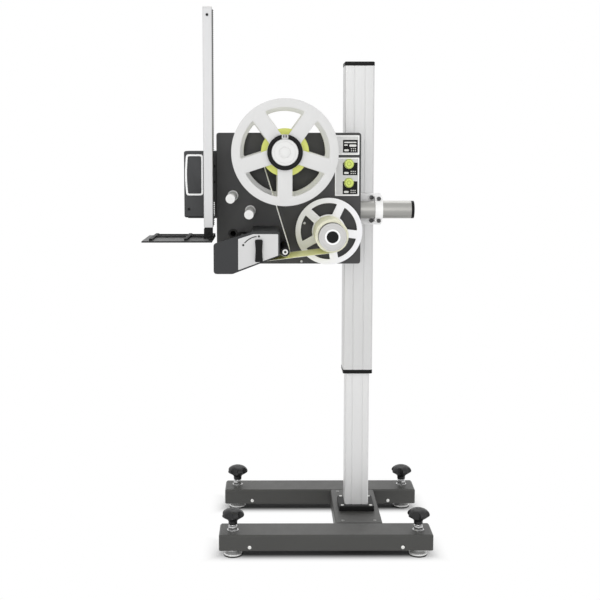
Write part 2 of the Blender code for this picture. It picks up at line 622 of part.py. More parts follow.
def rollers(face):
    roller("idle_roller_upper", IDLE_UPPER, IDLE_RADIUS, IDLE_FRONT, STUB, STEEL, face)
    roller("idle_roller_lower", IDLE_LOWER, IDLE_RADIUS, IDLE_FRONT, STUB, STEEL, face)
    roller("deflection_roller", DEFLECT, DEFLECT_RADIUS, REEL_FRONT, STUB, STEEL, face)
    roller("drive_roller", DRIVE, DRIVE_RADIUS, DRIVE_FRONT, SHAFT_STUB, RUBBER, face)


def web_line():
    # Middle line of the web, tangent to what it runs round. A positive radius turns anticlockwise.
    lift = GAP + WEB_THICK / 2
    stops = [(REEL, LABEL_RADIUS + lift), (DEFLECT, -DEFLECT_RADIUS - lift), (DRIVE, DRIVE_RADIUS + lift),
             (PEEL, PEEL_RADIUS + lift), (DRIVE, DRIVE_RADIUS + lift), (REWIND, LINER_RADIUS + lift)]
    headings = []
    for (a, from_radius), (b, to_radius) in zip(stops, stops[1:]):
        span = hypot(b[0] - a[0], b[1] - a[1])
        headings.append(atan2(b[1] - a[1], b[0] - a[0]) - asin((to_radius - from_radius) / span))
    line = []
    for k, (centre, radius) in enumerate(stops):
        first, last = headings[max(k - 1, 0)], headings[min(k, len(headings) - 1)]
        sweep = (last - first) % (2 * pi) if radius > 0 else -((first - last) % (2 * pi))
        steps = max(1, round(abs(sweep) / WEB_STEP))
        for step in range(steps + 1 if sweep else 1):
            heading = first + sweep * step / steps
            point = (centre[0] + radius * sin(heading), centre[1] - radius * cos(heading))
            line.append((point, heading))
    return line


def carrier_web(face):
    half = WEB_THICK / 2
    line = web_line()
    left = [(x - half * sin(h), y + half * cos(h)) for (x, y), h in line]
    right = [(x + half * sin(h), y - half * cos(h)) for (x, y), h in line]
    add_part(prism([left + right[::-1]], WEB_REAR, WEB_FRONT), "carrier_web", LIME, face)


def peel_plate(face):
    ahead = atan2(DRIVE[1] - PEEL[1], DRIVE[0] - PEEL[0])
    length = (PEEL_END - PEEL[0]) / cos(ahead)
    nose = arc((0, 0), PEEL_RADIUS, pi / 2, 1.5 * pi, 6)
    nose += [(length, -PEEL_RADIUS), (length, PEEL_RADIUS)]
    add_part(prism([nose], GAP, COVER_REAR - GAP), "peel_plate", STEEL, face, (*PEEL, 0), (0, 0, ahead))


def release_lever(face, rear):
    lever_pivot = pivot("lever_pivot", face, (*LEVER_PIVOT, 0))
    wide, waist, middle = LEVER_WIDTH / 2, LEVER_WAIST / 2, LEVER_WAIST_HEIGHT
    grip = fillet([(-wide, LEVER_LOW, LEVER_FOOT_CORNER), (wide, LEVER_LOW, LEVER_FOOT_CORNER),
                   (waist, middle, LEVER_SIDE), (wide, LEVER_HIGH, LEVER_TOP_CORNER),
                   (-wide, LEVER_HIGH, LEVER_TOP_CORNER), (-waist, middle, LEVER_SIDE)])
    lever = add_part(prism([grip], rear, rear + LEVER_THICK), "release_lever", BLACK_PLASTIC, lever_pivot)
    pin = prism([circle(LEVER_PIN, steps=20)], COVER_REAR + GAP, rear + SUNK)
    combine(lever, pin, "UNION")


def dispenser(face):
    add_part(prism([rounded(*BOX, BOX_CORNER)], GAP, COVER_REAR - GAP), "dispenser_box", HOUSING, face)
    pin_hole = circle(LEVER_PIN + GAP, LEVER_PIVOT, 20)
    front = [fillet(COVER_OUTLINE, 4), pin_hole]
    cover = add_part(prism(front, COVER_REAR, COVER_FRONT), "dispenser_cover", HOUSING, face)
    hood = [HOOD_LEFT, HOOD_RIGHT, (HOOD_RIGHT[0], HOOD_RIGHT[1] - HOOD_THICK),
            (HOOD_LEFT[0], HOOD_LEFT[1] - HOOD_THICK)]
    combine(cover, prism([hood], COVER_REAR - HOOD_DEPTH, COVER_REAR + SUNK), "UNION")
    seat = COVER_FRONT + GAP
    panel = [fillet(PANEL_OUTLINE), pin_hole]
    add_part(prism(panel, seat, seat + PANEL_THICK), "dispenser_panel", SILVER, face)
    peel_plate(face)
    release_lever(face, seat + PANEL_THICK + GAP)


def controls(face):
    stems = [circle(BUTTON_STEM + GAP, (BUTTON_X, height), 12) for height in BUTTON_HEIGHTS]
    upper = rounded(CONTROL_LEFT, CONTROL_RIGHT, *UPPER_PLATE, CONTROL_CORNER)
    lower = rounded(CONTROL_LEFT, CONTROL_RIGHT, *LOWER_PLATE, CONTROL_CORNER)
    add_part(prism([upper], GAP, GAP + CONTROL_THICK), "control_plate_upper", SILVER, face)
    add_part(prism([lower] + stems, GAP, GAP + CONTROL_THICK), "control_plate_lower", SILVER, face)
    profile = [(0, BUTTON_FRONT), (0, BUTTON_STEM_REAR), (BUTTON_STEM, BUTTON_STEM_REAR),
               (BUTTON_STEM, BUTTON_REAR), (BUTTON_RADIUS, BUTTON_REAR),
               (BUTTON_RADIUS, BUTTON_FRONT - BUTTON_EDGE), (BUTTON_RADIUS - BUTTON_EDGE, BUTTON_FRONT)]
    for name, height in zip(("button_upper", "button_lower"), BUTTON_HEIGHTS):
        add_part(turned(profile, 20), name, LIME, face, (BUTTON_X, height, 0))


def inset_by(edges, border):
    left, right, low, high = edges
    return left + border, right - border, low + border, high - border


def bulged(left, right, low, high, corner):
    # Rounded rectangle whose left side swells outwards.
    return fillet([(left + FRAME_BULGE, low, corner), (right, low, corner), (right, high, corner),
                   (left + FRAME_BULGE, high, corner), (left, (low + high) / 2, FRAME_SWEEP)], 4)


def tamp_drive(face):
    back = -PLATE_THICK - GAP
    bracket = [rounded(*BRACKET, BRACKET_CORNER), rounded(*BRACKET_SLOT, BRACKET_SLOT_CORNER)]
    add_part(prism(bracket, back - BRACKET_THICK, back), "axis_bracket", HOUSING, face)
    edge, shoulder = DRIVE_BOX_EDGE, DRIVE_BOX_FRONT - DRIVE_BOX_EDGE
    case = rounded(*DRIVE_BOX, DRIVE_BOX_CORNER)
    eased = rounded(*inset_by(DRIVE_BOX, edge), DRIVE_BOX_CORNER - edge)
    rings = [(case, back + GAP), (case, shoulder), (eased, DRIVE_BOX_FRONT)]
    drive_box = add_part(lofted(rings), "axis_drive_box", HOUSING, face)
    block_left, block_right = RAIL_X - RAIL_WIDTH / 2, DRIVE_BOX[1] - 2 * edge
    low, high = DRIVE_BOX[2] + GUIDE_INSET, DRIVE_BOX[3] - GUIDE_INSET
    for bottom, top in ((low, low + GUIDE_HEIGHT), (high - GUIDE_HEIGHT, high)):
        guide = box(block_left, block_right, bottom, top, shoulder, RAIL_REAR - GAP)
        combine(drive_box, guide, "UNION")
    frame = [bulged(*FRAME, FRAME_CORNER), bulged(*inset_by(FRAME, FRAME_BORDER), FRAME_WINDOW_CORNER)]
    seat = DRIVE_BOX_FRONT + GAP
    add_part(prism(frame, seat, seat + FRAME_THICK), "axis_cover_frame", REEL_GREY, face)


def tamp_pad(tamp):
    plate = box(PAD_LEFT, PAD_RIGHT, PAD_LOW, PAD_TOP, PAD_REAR, PAD_FRONT)
    pad = add_part(plate, "tamp_pad", BLACK_PLASTIC, tamp, (-RAIL_X, -RAIL_LOW, -RAIL_REAR))
    root, half = PAD_TOP - SUNK, RIB_WIDTH / 2
    for x in RIB_PLACES:
        rib = box(x - half, x + half, root, RIB_TOP, PAD_REAR + RIB_INSET, PAD_FRONT - RIB_INSET)
        combine(pad, rib, "UNION")
    for depth in BAR_PLACES:
        bar = box(RIB_PLACES[0], RIB_PLACES[-1], root, BAR_TOP, depth - half, depth + half)
        combine(pad, bar, "UNION")


def tamp_axis(face):
    tamp = pivot("tamp_pivot", face, (RAIL_X, RAIL_LOW, RAIL_REAR))
    half, cut = RAIL_WIDTH / 2, RAIL_WIDTH / 2 - RAIL_GROOVE_DEPTH
    rear, front = -(RAIL_DEPTH - RAIL_GROOVE) / 2, -(RAIL_DEPTH + RAIL_GROOVE) / 2
    profile = [(-half, 0, RAIL_CORNER), (-half, -RAIL_DEPTH, RAIL_CORNER), (half, -RAIL_DEPTH, RAIL_CORNER),
               (half, front, SHARP), (cut, front, SHARP), (cut, rear, SHARP), (half, rear, SHARP),
               (half, 0, RAIL_CORNER)]
    upright = (-pi / 2, 0, 0)
    add_part(prism([fillet(profile, 2)], 0, RAIL_HIGH - RAIL_LOW), "tamp_rail", ALUMINIUM, tamp, turn=upright)
    pad_top, rib_top = PAD_TOP - RAIL_LOW + GAP, RIB_TOP - RAIL_LOW + GAP
    rib_side, right = RIB_PLACES[-1] - RIB_WIDTH / 2 - GAP - RAIL_X, half - RAIL_FOOT_INSET
    foot = fillet([(-half, pad_top, SHARP), (rib_side, pad_top, SHARP), (rib_side, rib_top, SHARP),
                   (right, rib_top, SHARP), (right, -GAP, RAIL_FOOT_CORNER), (-half, -GAP, RAIL_FOOT_CORNER)])
    add_part(prism([foot], GAP, RAIL_DEPTH), "rail_foot", BLACK_PLASTIC, tamp)
    tamp_pad(tamp)


def build():
    clear_scene()
    stand = pivot("stand", None, (COLUMN_X, COLUMN_Y, 0))
    lift = pivot("lift", stand, (0, 0, 0))
    boom = pivot("boom", lift, (0, BOOM_Y, BOOM_Z))
    head = pivot("head", boom, (0, 0, 0))
    face = pivot("face", head, (0, FACE_Y - BOOM_Y, -BOOM_Z), FACING_FRONT)
    leg("front_leg", -LEG_CENTRE_Y, stand)
    leg("rear_leg", LEG_CENTRE_Y, stand)
    cross_member(stand)
    column(stand, lift)
    running_gear(stand)
    clamp(lift)
    boom_parts(boom)
    main_plate(face)
    rear_housing(head, face)
    unwinder(face)
    rewinder(face)
    rollers(face)
    carrier_web(face)
    dispenser(face)
    controls(face)
    tamp_drive(face)
    tamp_axis(face)


build()
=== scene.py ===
import bmesh
import bpy
import math
from mathutils import Matrix, Vector


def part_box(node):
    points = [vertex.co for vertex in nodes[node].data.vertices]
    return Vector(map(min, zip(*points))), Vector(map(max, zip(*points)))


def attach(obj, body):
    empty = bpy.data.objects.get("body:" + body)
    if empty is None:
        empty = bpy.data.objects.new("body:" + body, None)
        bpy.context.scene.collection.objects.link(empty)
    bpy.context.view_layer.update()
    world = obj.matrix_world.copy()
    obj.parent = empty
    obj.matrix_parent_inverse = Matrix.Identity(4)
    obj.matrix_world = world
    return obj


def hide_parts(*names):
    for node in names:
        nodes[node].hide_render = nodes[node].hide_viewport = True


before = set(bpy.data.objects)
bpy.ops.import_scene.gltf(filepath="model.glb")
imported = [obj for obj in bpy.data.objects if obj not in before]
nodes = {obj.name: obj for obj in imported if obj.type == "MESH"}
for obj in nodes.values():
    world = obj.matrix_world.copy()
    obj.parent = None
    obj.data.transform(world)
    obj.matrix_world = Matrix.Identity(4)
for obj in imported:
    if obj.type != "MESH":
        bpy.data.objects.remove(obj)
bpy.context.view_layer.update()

bpy.ops.object.select_all(action="DESELECT")
print("frame loaded:", len(nodes), "nodes")


# Places in metres: x from the column's axis, heights from the floor, ahead from the front of the main plate
columnLow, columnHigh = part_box("outer_column")
columnX, columnY = (columnLow[0] + columnHigh[0]) / 2, (columnLow[1] + columnHigh[1]) / 2
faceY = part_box("main_plate")[0][1]
forward, up, right = Vector((0, -1, 0)), Vector((0, 0, 1)), Vector((1, 0, 0))
corners = ("front_left", "front_right", "rear_left", "rear_right")
fourWays = [(s, t) for s in (-1, 1) for t in (-1, 1)]
reelPlace, rewindPlace = (-0.2167, 1.136), (-0.0925, 0.916)
buttonX, buttonHeights = -0.036, {"button_upper": 1.1024, "button_lower": 1.0498}
webRear, webFront = 0.031, 0.188  # edges of the strip, ahead of the plate


def onHead(x, height, ahead=0):
    return Vector((columnX + x, faceY - ahead, height))


def onStand(x, depth, height):
    return Vector((columnX + x, columnY + depth, height))


def axisAt(x, height):
    # a level axis from front to back, for patterns that run round it
    return (columnX + x, 0, height)


# Shader maths: a wire is one output socket, and sums on wires add Math nodes
class Wire:
    def __init__(self, shading, socket):
        self.shading, self.socket = shading, socket

    def sum(self, operation, *values):
        return self.shading.node("ShaderNodeMath", {"operation": operation}, dict(enumerate(values)))

    def __add__(self, other):
        return self.sum("ADD", self, other)

    def __radd__(self, other):
        return self.sum("ADD", other, self)

    def __sub__(self, other):
        return self.sum("SUBTRACT", self, other)

    def __rsub__(self, other):
        return self.sum("SUBTRACT", other, self)

    def __mul__(self, other):
        return self.sum("MULTIPLY", self, other)

    def __rmul__(self, other):
        return self.sum("MULTIPLY", other, self)

    def __gt__(self, other):
        return self.sum("GREATER_THAN", self, other)

    def __lt__(self, other):
        return self.sum("LESS_THAN", self, other)

    def most(self, other):
        return self.sum("MAXIMUM", self, other)

    def least(self, other):
        return self.sum("MINIMUM", self, other)

    def sine(self):
        return self.sum("SINE", self)

    def root(self):
        return self.sum("SQRT", self)

    def size(self):
        return self.sum("ABSOLUTE", self)


class Shading:
    def __init__(self, tree):
        self.tree = tree

    def plug(self, socket, value):
        if isinstance(value, Wire):
            self.tree.links.new(value.socket, socket)
        else:
            socket.default_value = value

    def node(self, kind, settings=None, sockets=None, output=0):
        made = self.tree.nodes.new(kind)
        for key, value in (settings or {}).items():
            setattr(made, key, value)
        for key, value in (sockets or {}).items():
            self.plug(made.inputs[key], value)
        return Wire(self, made.outputs[output])

    def rise(self, value, low, high):
        # smooth step from 0 at low to 1 at high
        return self.node("ShaderNodeMapRange", {"interpolation_type": "SMOOTHSTEP"},
                         {"Value": value, "From Min": low, "From Max": high})

    def seen(self):
        # 1 for a ray that meets the background straight on, in metal or through glass
        rays = self.node("ShaderNodeLightPath", output="Is Camera Ray")
        for kind in ("Is Glossy Ray", "Is Transmission Ray"):
            rays = rays.most(self.node("ShaderNodeLightPath", output=kind))
        return rays


class Finish(Shading):
    sockets = {"base": "Base Color", "rough": "Roughness", "metal": "Metallic", "normal": "Normal",
               "specular": "Specular IOR Level"}

    def __init__(self, name):
        self.material = bpy.data.materials.new(name)
        self.material.use_nodes = True
        super().__init__(self.material.node_tree)
        self.shader = self.tree.nodes["Principled BSDF"]

    def place(self, scale=(1, 1, 1), origin=(0, 0, 0)):
        coords = self.node("ShaderNodeTexCoord", output="Object")
        if scale == (1, 1, 1) and origin == (0, 0, 0):
            return coords
        shift = tuple(-s * o for s, o in zip(scale, origin))
        return self.node("ShaderNodeMapping", None, {"Vector": coords, "Location": shift, "Scale": scale})

    def axes(self, origin):
        split = self.node("ShaderNodeSeparateXYZ", None, {0: self.place((1, 1, 1), origin)})
        return [Wire(self, output) for output in split.socket.node.outputs]

    def radius(self, centre):
        x, z = self.axes(centre)[::2]
        return (x * x + z * z).root()

    def noise(self, scale, detail=2.0, where=None):
        return self.node("ShaderNodeTexNoise", None, {"Vector": where or self.place(), "Scale": scale,
                                                      "Detail": detail, "Roughness": 0.55})

    def mix(self, factor, first, second):
        # inputs 6 and 7 and output 2 are the colour ones
        pair = [v if isinstance(v, Wire) else (*v, 1) for v in (first, second)]
        return self.node("ShaderNodeMix", {"data_type": "RGBA"}, {0: factor, 6: pair[0], 7: pair[1]}, 2)

    def bump(self, height, depth):
        return self.node("ShaderNodeBump", None, {"Height": height, "Distance": depth, "Strength": 1.0})

    def set(self, **values):
        for key, value in values.items():
            self.plug(self.shader.inputs[self.sockets[key]], value)
        return self.material


# Camera at the photo's height and side, pitched down a little with a small shift
cameraSet = {"place": (-0.0515, -3.1242, 1.1600), "pitch": 0.1054, "yaw": -0.0054, "lens": 65.13,
             "shift": (0.035, -0.07), "reach": 60}


def addCamera():
    bpy.ops.object.camera_add(location=cameraSet["place"],
                              rotation=(math.pi / 2 - cameraSet["pitch"], 0, cameraSet["yaw"]))
    camera = bpy.context.object
    camera.data.lens = cameraSet["lens"]
    camera.data.shift_x, camera.data.shift_y = cameraSet["shift"]
    camera.data.clip_end = cameraSet["reach"]
    bpy.context.scene.camera = camera


# Plain studio: white surround, and a pale floor that keeps the shadow near the legs and has a painted shadow
# under them
studioSet = {"surround": 0.76, "floor": 60.0, "floorTint": (0.97, 0.97, 0.97), "floorRough": 0.9,
             "floorShine": 0.1, "middle": (0.096, 0.0915, 0),
             "halfLength": 0.30, "halfGap": 0.20, "halfWidth": 0.05, "clear": (-0.010, 0.055),
             "paintedShadowRise": (-0.005, 0.030), "paintedShadowEnd": 0.045, "paintedShadowTint": (0.16, 0.16, 0.16)}
# Soft lamps, each aimed at a point on the object
lampSet = {"left": {"place": (-1.6, -1.9, 3.6), "aim": (-0.1, 0.0, 0.9), "size": 2.6, "power": 10},
           "right": {"place": (2.3, -2.6, 2.4), "aim": (0.0, 0.0, 0.9), "size": 2.0, "power": 13},
           "rear": {"place": (0.2, 1.8, 3.4), "aim": (0.1, 0.0, 0.6), "size": 2.2, "power": 19},
           "front": {"place": (-0.6, -3.6, 1.5), "aim": (0.0, 0.0, 0.95), "size": 2.2, "power": 25}}


def addSurround():
    scene = bpy.context.scene
    scene.view_settings.view_transform = "Standard"
    scene.world = bpy.data.worlds.new("studio")
    scene.world.use_nodes = True
    sky = Shading(scene.world.node_tree)
    level = sky.node("ShaderNodeMapRange", None,
                     {"Value": sky.seen(), "To Min": studioSet["surround"], "To Max": 1.0})
    back = sky.tree.nodes["Background"]
    sky.plug(back.inputs["Color"], (1, 1, 1, 1))
    sky.plug(back.inputs["Strength"], level)


def addFloor():
    bpy.ops.mesh.primitive_plane_add(size=studioSet["floor"], location=(0, 0, 0))
    floor = bpy.context.object
    floor.name = "floor"
    paper = Finish("paleFloor")
    x, y = paper.axes(studioSet["middle"])[:2]
    # how far a point lies past the ends and the sides of the legs
    end = x.size() - studioSet["halfLength"]
    side = (y.size() - studioSet["halfGap"]).size() - studioSet["halfWidth"]
    # painted shadow: this mask turns the floor's own colour dark under the legs
    under = paper.rise((end + studioSet["paintedShadowEnd"]).most(side), *studioSet["paintedShadowRise"])
    paper.set(base=paper.mix(under, studioSet["paintedShadowTint"], studioSet["floorTint"]),
              rough=studioSet["floorRough"], specular=studioSet["floorShine"])
    white = paper.node("ShaderNodeEmission", None, {"Color": (1, 1, 1, 1), "Strength": 1.0})
    away = paper.rise(end.most(side), *studioSet["clear"])
    lit = Wire(paper, paper.shader.outputs[0])
    mixed = paper.node("ShaderNodeMixShader", None, {0: paper.seen() * away, 1: lit, 2: white})
    paper.plug(paper.tree.nodes["Material Output"].inputs["Surface"], mixed)
    floor.data.materials.append(paper.material)


def addLamps():
    for part in lampSet.values():
        bpy.ops.object.light_add(type="AREA", location=part["place"])
        lamp = bpy.context.object
        lamp.data.size, lamp.data.energy = part["size"], part["power"]
        sight = Vector(part["aim"]) - Vector(part["place"])
        lamp.rotation_euler = sight.to_track_quat("-Z", "Y").to_euler()


addCamera()
addSurround()
addFloor()
addLamps()
print("camera and studio ready")


# Finishes, one function each, with its scales per metre and its spreads above it
def shades(tint, spread):
    return [tuple(min(1.0, c * (1 + way * spread)) for c in tint) for way in (-1, 1)]


coatLook = {"cloud": 9, "patch": 30, "roughDrop": 0.05, "roughSpan": 0.12}


def coated(name, tint, rough, grain=900, depth=0.00018, spread=0.12, specular=0.5):
    # satin paint or moulded plastic: fine even grain, slight cloudiness
    finish = Finish(name)
    tone = finish.mix(finish.noise(coatLook["cloud"], detail=3), *shades(tint, spread))
    patch = coatLook["roughSpan"] * finish.noise(coatLook["patch"])
    return finish.set(base=tone, rough=rough - coatLook["roughDrop"] + patch, specular=specular,
                      normal=finish.bump(finish.noise(grain), depth))


drawnLook = {"cloud": 5, "streakShare": 0.6, "spread": 0.06, "depth": 0.00004, "roughDrop": 0.06,
             "roughSpan": 0.12}


def drawn(name, tint, rough, run, metal=1.0):
    # drawn or ground metal: streaks along the direction whose scale is small
    finish = Finish(name)
    streak = finish.noise(1.0, detail=4, where=finish.place(run))
    share = drawnLook["streakShare"]
    blend = share * streak + (1 - share) * finish.noise(drawnLook["cloud"])
    return finish.set(base=finish.mix(blend, *shades(tint, drawnLook["spread"])), metal=metal,
                      rough=rough - drawnLook["roughDrop"] + drawnLook["roughSpan"] * streak,
                      normal=finish.bump(streak, drawnLook["depth"]))


toppedLook = {"sheenScale": 40, "spread": 0.16, "skin": 0.0005, "grain": 1500, "depth": 0.00008, "rough": 0.38,
              "roughSpan": 0.12, "specular": 0.08}


def topped(name, tint, edge, height):
    # anodised plate: upper face lighter as a painted sheen, ribs and edges black
    finish = Finish(name)
    level = finish.axes((0, 0, height))[2].size() < toppedLook["skin"]
    sheenCloud = finish.noise(toppedLook["sheenScale"], detail=3)
    face = finish.mix(sheenCloud, *shades(tint, toppedLook["spread"]))
    # painted sheen: the upper face takes the lighter tint, ribs and edges the black one
    return finish.set(base=finish.mix(level, edge, face), specular=toppedLook["specular"],
                      rough=toppedLook["rough"] + toppedLook["roughSpan"] * sheenCloud,
                      normal=finish.bump(finish.noise(toppedLook["grain"]), toppedLook["depth"]))


woundLook = {"layer": 5200, "wobble": 60, "sway": 3, "band": 420, "across": 4, "layerShare": 0.35,
             "bandShare": 0.5, "rough": 0.5, "roughSpan": 0.12, "depth": 0.00008}


def wound(name, centre, tint, shade):
    # wound strip: rings about the roll's axis, uneven as layers are
    finish = Finish(name)
    radius, across = finish.radius(centre), finish.axes(centre)[1]
    sway = finish.noise(woundLook["wobble"]) * woundLook["sway"]
    layer = 0.5 + 0.5 * (radius * woundLook["layer"] + sway).sine()
    spot = {0: radius * woundLook["band"], 1: across * woundLook["across"]}
    band = finish.noise(1.0, where=finish.node("ShaderNodeCombineXYZ", None, spot))
    blend = woundLook["layerShare"] * layer + woundLook["bandShare"] * band
    return finish.set(base=finish.mix(blend, tint, shade), normal=finish.bump(layer, woundLook["depth"]),
                      rough=woundLook["rough"] + woundLook["roughSpan"] * band)


stripLook = {"rim": 0.004, "fade": 400, "rimShare": 0.85, "wave": (26, 5, 26), "spread": 0.16, "rough": 0.40,
             "roughSpan": 0.1, "depth": 0.0006}


def strip(name, tint, edge, label, peel):
    # label strip: pale labels above the peeling height, lime backing below, paler cut edges, faint waves
    finish = Finish(name)
    y, z = finish.axes((0, faceY - (webRear + webFront) / 2, peel))[1:]
    flat = (webFront - webRear) / 2 - stripLook["rim"]
    rim = finish.node("ShaderNodeClamp", None, {0: (y.size() - flat) * stripLook["fade"]})
    wave = finish.noise(1.0, detail=3, where=finish.place(stripLook["wave"]))
    backing = finish.mix(wave, tint, shades(tint, stripLook["spread"])[1])
    tone = finish.mix(z > 0, backing, label)
    return finish.set(base=finish.mix(stripLook["rimShare"] * rim, tone, edge),
                      rough=stripLook["rough"] + stripLook["roughSpan"] * wave,
                      normal=finish.bump(wave, stripLook["depth"]))


ringLook = {"ring": (0.0040, 0.0066), "dot": 0.0014, "cloud": 90, "share": 0.7, "rough": 0.24,
            "roughSpan": 0.1}


def ringed(name, centres, tint, shade):
    # push-button: a darker ring and a dark dot about each centre
    finish = Finish(name)
    near = finish.radius(centres[0])
    for centre in centres[1:]:
        near = near.least(finish.radius(centre))
    inner, outer = ringLook["ring"]
    ring = (near > inner) * (near < outer) + (near < ringLook["dot"])
    cloud, share = finish.noise(ringLook["cloud"]), ringLook["share"]
    return finish.set(base=finish.mix(ring * (share + (1 - share) * cloud), tint, shade),
                      rough=ringLook["rough"] + ringLook["roughSpan"] * cloud)


# coated: tint, roughness, grain per metre, its depth, spread of the tint, specular level
# drawn: tint, roughness, scales of the streaks, share of metal
finishSet = {
    "base": coated("coatedSteel", (0.046, 0.046, 0.043), 0.42),
    "plate": coated("blackAnodised", (0.036, 0.036, 0.037), 0.44, 1500, 0.00008),
    "pad": topped("padAnodised", (0.155, 0.155, 0.156), (0.006, 0.006, 0.006), 0.905),
    "cover": coated("coverPlastic", (0.019, 0.020, 0.022), 0.46, 1300, 0.00014, 0.12, 0.4),
    "housing": coated("housingPlastic", (0.035, 0.036, 0.038), 0.46, 1300, 0.00014, 0.12, 0.4),
    "black": coated("blackPlastic", (0.009, 0.009, 0.009), 0.42, 1400, 0.0001, 0.12, 0.12),
    "rubber": coated("blackRubber", (0.020, 0.020, 0.020), 0.72, 700, 0.00012),
    "column": drawn("anodisedColumn", (0.62, 0.62, 0.62), 0.38, (700, 700, 2.5), 0.45),
    "slide": drawn("anodisedSlide", (0.72, 0.72, 0.72), 0.38, (700, 700, 2.5), 0.45),
    "cast": coated("paintedClamp", (0.94, 0.94, 0.94), 0.36, 800, 0.00008, 0.03),
    "tube": drawn("groundTube", (0.38, 0.377, 0.36), 0.36, (3, 900, 900)),
    "bright": drawn("polishedRoller", (0.82, 0.82, 0.82), 0.20, (900, 3, 900)),
    "rail": drawn("anodisedRail", (0.58, 0.58, 0.585), 0.42, (900, 900, 2), 0.25),
    "silver": drawn("silverPlate", (0.53, 0.53, 0.53), 0.40, (4, 900, 900), 0.40),
    "reel": coated("reelGrey", (0.65, 0.65, 0.645), 0.40, 1100, 0.00012, 0.025),
    "rewinder": coated("rewinderGrey", (0.875, 0.875, 0.915), 0.40, 1100, 0.00012, 0.02),
    "lime": coated("limeLabel", (0.58, 0.66, 0.16), 0.46, 600, 0.00004, 0.06),
    "disc": coated("discGrey", (0.54, 0.535, 0.525), 0.36, 1100, 0.00008, 0.02),
    "cap": coated("paleCap", (0.72, 0.72, 0.71), 0.34, 1100, 0.00008, 0.02),
    "labelRoll": wound("labelRoll", axisAt(*reelPlace), (0.70, 0.74, 0.22), (0.56, 0.58, 0.12)),
    "linerRoll": wound("linerRoll", axisAt(*rewindPlace), (0.98, 0.97, 0.84), (0.93, 0.92, 0.64)),
    "chrome": drawn("brightSteel", (0.52, 0.52, 0.52), 0.14, (400, 400, 40)),
    "sleeve": drawn("rollerSleeve", (0.80, 0.80, 0.80), 0.32, (900, 3, 900), 0.2),
    "web": strip("carrierWeb", (0.92, 0.92, 0.48), (0.97, 0.97, 0.92), (0.97, 0.97, 0.95), 0.884),
    "button": ringed("limeButton", [axisAt(buttonX, z) for z in buttonHeights.values()],
                     (0.67, 0.78, 0.18), (0.40, 0.49, 0.07)),
    "white": coated("whiteRim", (0.92, 0.92, 0.92), 0.36, 1100, 0.00006, 0.02),
    "screw": drawn("darkScrew", (0.34, 0.34, 0.33), 0.30, (500, 500, 500)),
    "oxide": drawn("blackOxide", (0.075, 0.075, 0.075), 0.34, (500, 500, 500), 0.6),
    "zinc": drawn("whiteZinc", (0.86, 0.86, 0.85), 0.30, (400, 400, 40), 0.30),
    "pale": drawn("paleZinc", (0.78, 0.78, 0.76), 0.34, (500, 500, 500), 0.7),
    "knob": coated("knobPlastic", (0.010, 0.010, 0.011), 0.34, 900, 0.00015, 0.12, 0.4),
    "gloss": coated("glossPanel", (0.018, 0.018, 0.020), 0.20, 300, 0.00002),
}


def atCorners(part):
    return [part + "_" + corner for corner in corners]


nodeFinish = {
    "base": ("front_leg", "rear_leg", "cross_member"),
    "plate": ("main_plate", "axis_bracket"),
    "pad": ("tamp_pad",),
    "cover": ("dispenser_cover",),
    "housing": ("rear_cover", "belt_cover", "dispenser_box", "axis_drive_box"),
    "black": ("column_foot_plate", "column_top_cap", "column_collar", "boom_end_cap", "hub_ring",
              "rail_foot", "release_lever", *atCorners("jack")),
    "rubber": ("drive_roller", *atCorners("wheel")),
    "column": ("outer_column",),
    "slide": ("inner_column",),
    "cast": ("clamp_bracket", "clamp_cap_left", "clamp_cap_right", "boom_hub"),
    "tube": ("boom_tube", "drive_motor"),
    "bright": ("idle_roller_upper", "idle_roller_lower", "deflection_roller", "unwind_spindle",
               "peel_plate"),
    "rail": ("tamp_rail",),
    "silver": ("dispenser_panel", "control_plate_upper", "control_plate_lower"),
    "reel": ("reel_core", "reel_rear_flange", "reel_front_flange", "hub_cap", "rewind_flange",
             "rewind_mandrel"),
    "white": ("axis_cover_frame",),
    "lime": ("label_roll", "liner_roll", "carrier_web", "button_upper", "button_lower"),
    "zinc": atCorners("foot"),
}


def dressNodes():
    for key, names in nodeFinish.items():
        for name in names:
            nodes[name].data.materials.clear()
            nodes[name].data.materials.append(finishSet[key])


dressNodes()
print("CAD nodes dressed")


# Modelling helpers, used as by hand: add, select, shape, apply
joinGap, sameWay = 1e-6, 0.999


def pick(piece):
    bpy.ops.object.select_all(action="DESELECT")
    piece.select_set(True)
    bpy.context.view_layer.objects.active = piece


def settle(piece):
    pick(piece)
    bpy.ops.object.transform_apply(location=True, rotation=True, scale=True)
    return piece


def tidyMesh(piece):
    pick(piece)
    bpy.ops.object.mode_set(mode="EDIT")
    bpy.ops.mesh.select_all(action="SELECT")
    bpy.ops.mesh.remove_doubles(threshold=joinGap)
    bpy.ops.mesh.normals_make_consistent(inside=False)
    bpy.ops.object.mode_set(mode="OBJECT")
    return piece


def penDown(name, points):
    # one vertex, drawn on from point to point with extrude
    bpy.ops.object.select_all(action="DESELECT")
    bpy.ops.mesh.primitive_plane_add(size=0.01, location=(0, 0, 0))
    piece = bpy.context.object
    piece.name = name
    bpy.ops.object.mode_set(mode="EDIT")
    bpy.ops.mesh.select_all(action="SELECT")
    bpy.ops.mesh.merge(type="CENTER")
    bpy.ops.transform.translate(value=points[0])
    for last, point in zip(points, points[1:]):
        bpy.ops.mesh.extrude_region_move(TRANSFORM_OT_translate={"value": point - last})
    bpy.ops.mesh.select_all(action="SELECT")
    return piece


def turned(name, profile, centre, axis, steps):
    # profile of (radius, along) spun about an upright axis or one from front to back
    piece = penDown(name, [centre + right * r + axis * a for r, a in profile])
    bpy.ops.mesh.spin(steps=steps, angle=math.tau, center=centre, axis=axis, use_auto_merge=True)
    bpy.ops.object.mode_set(mode="OBJECT")
    return tidyMesh(piece)


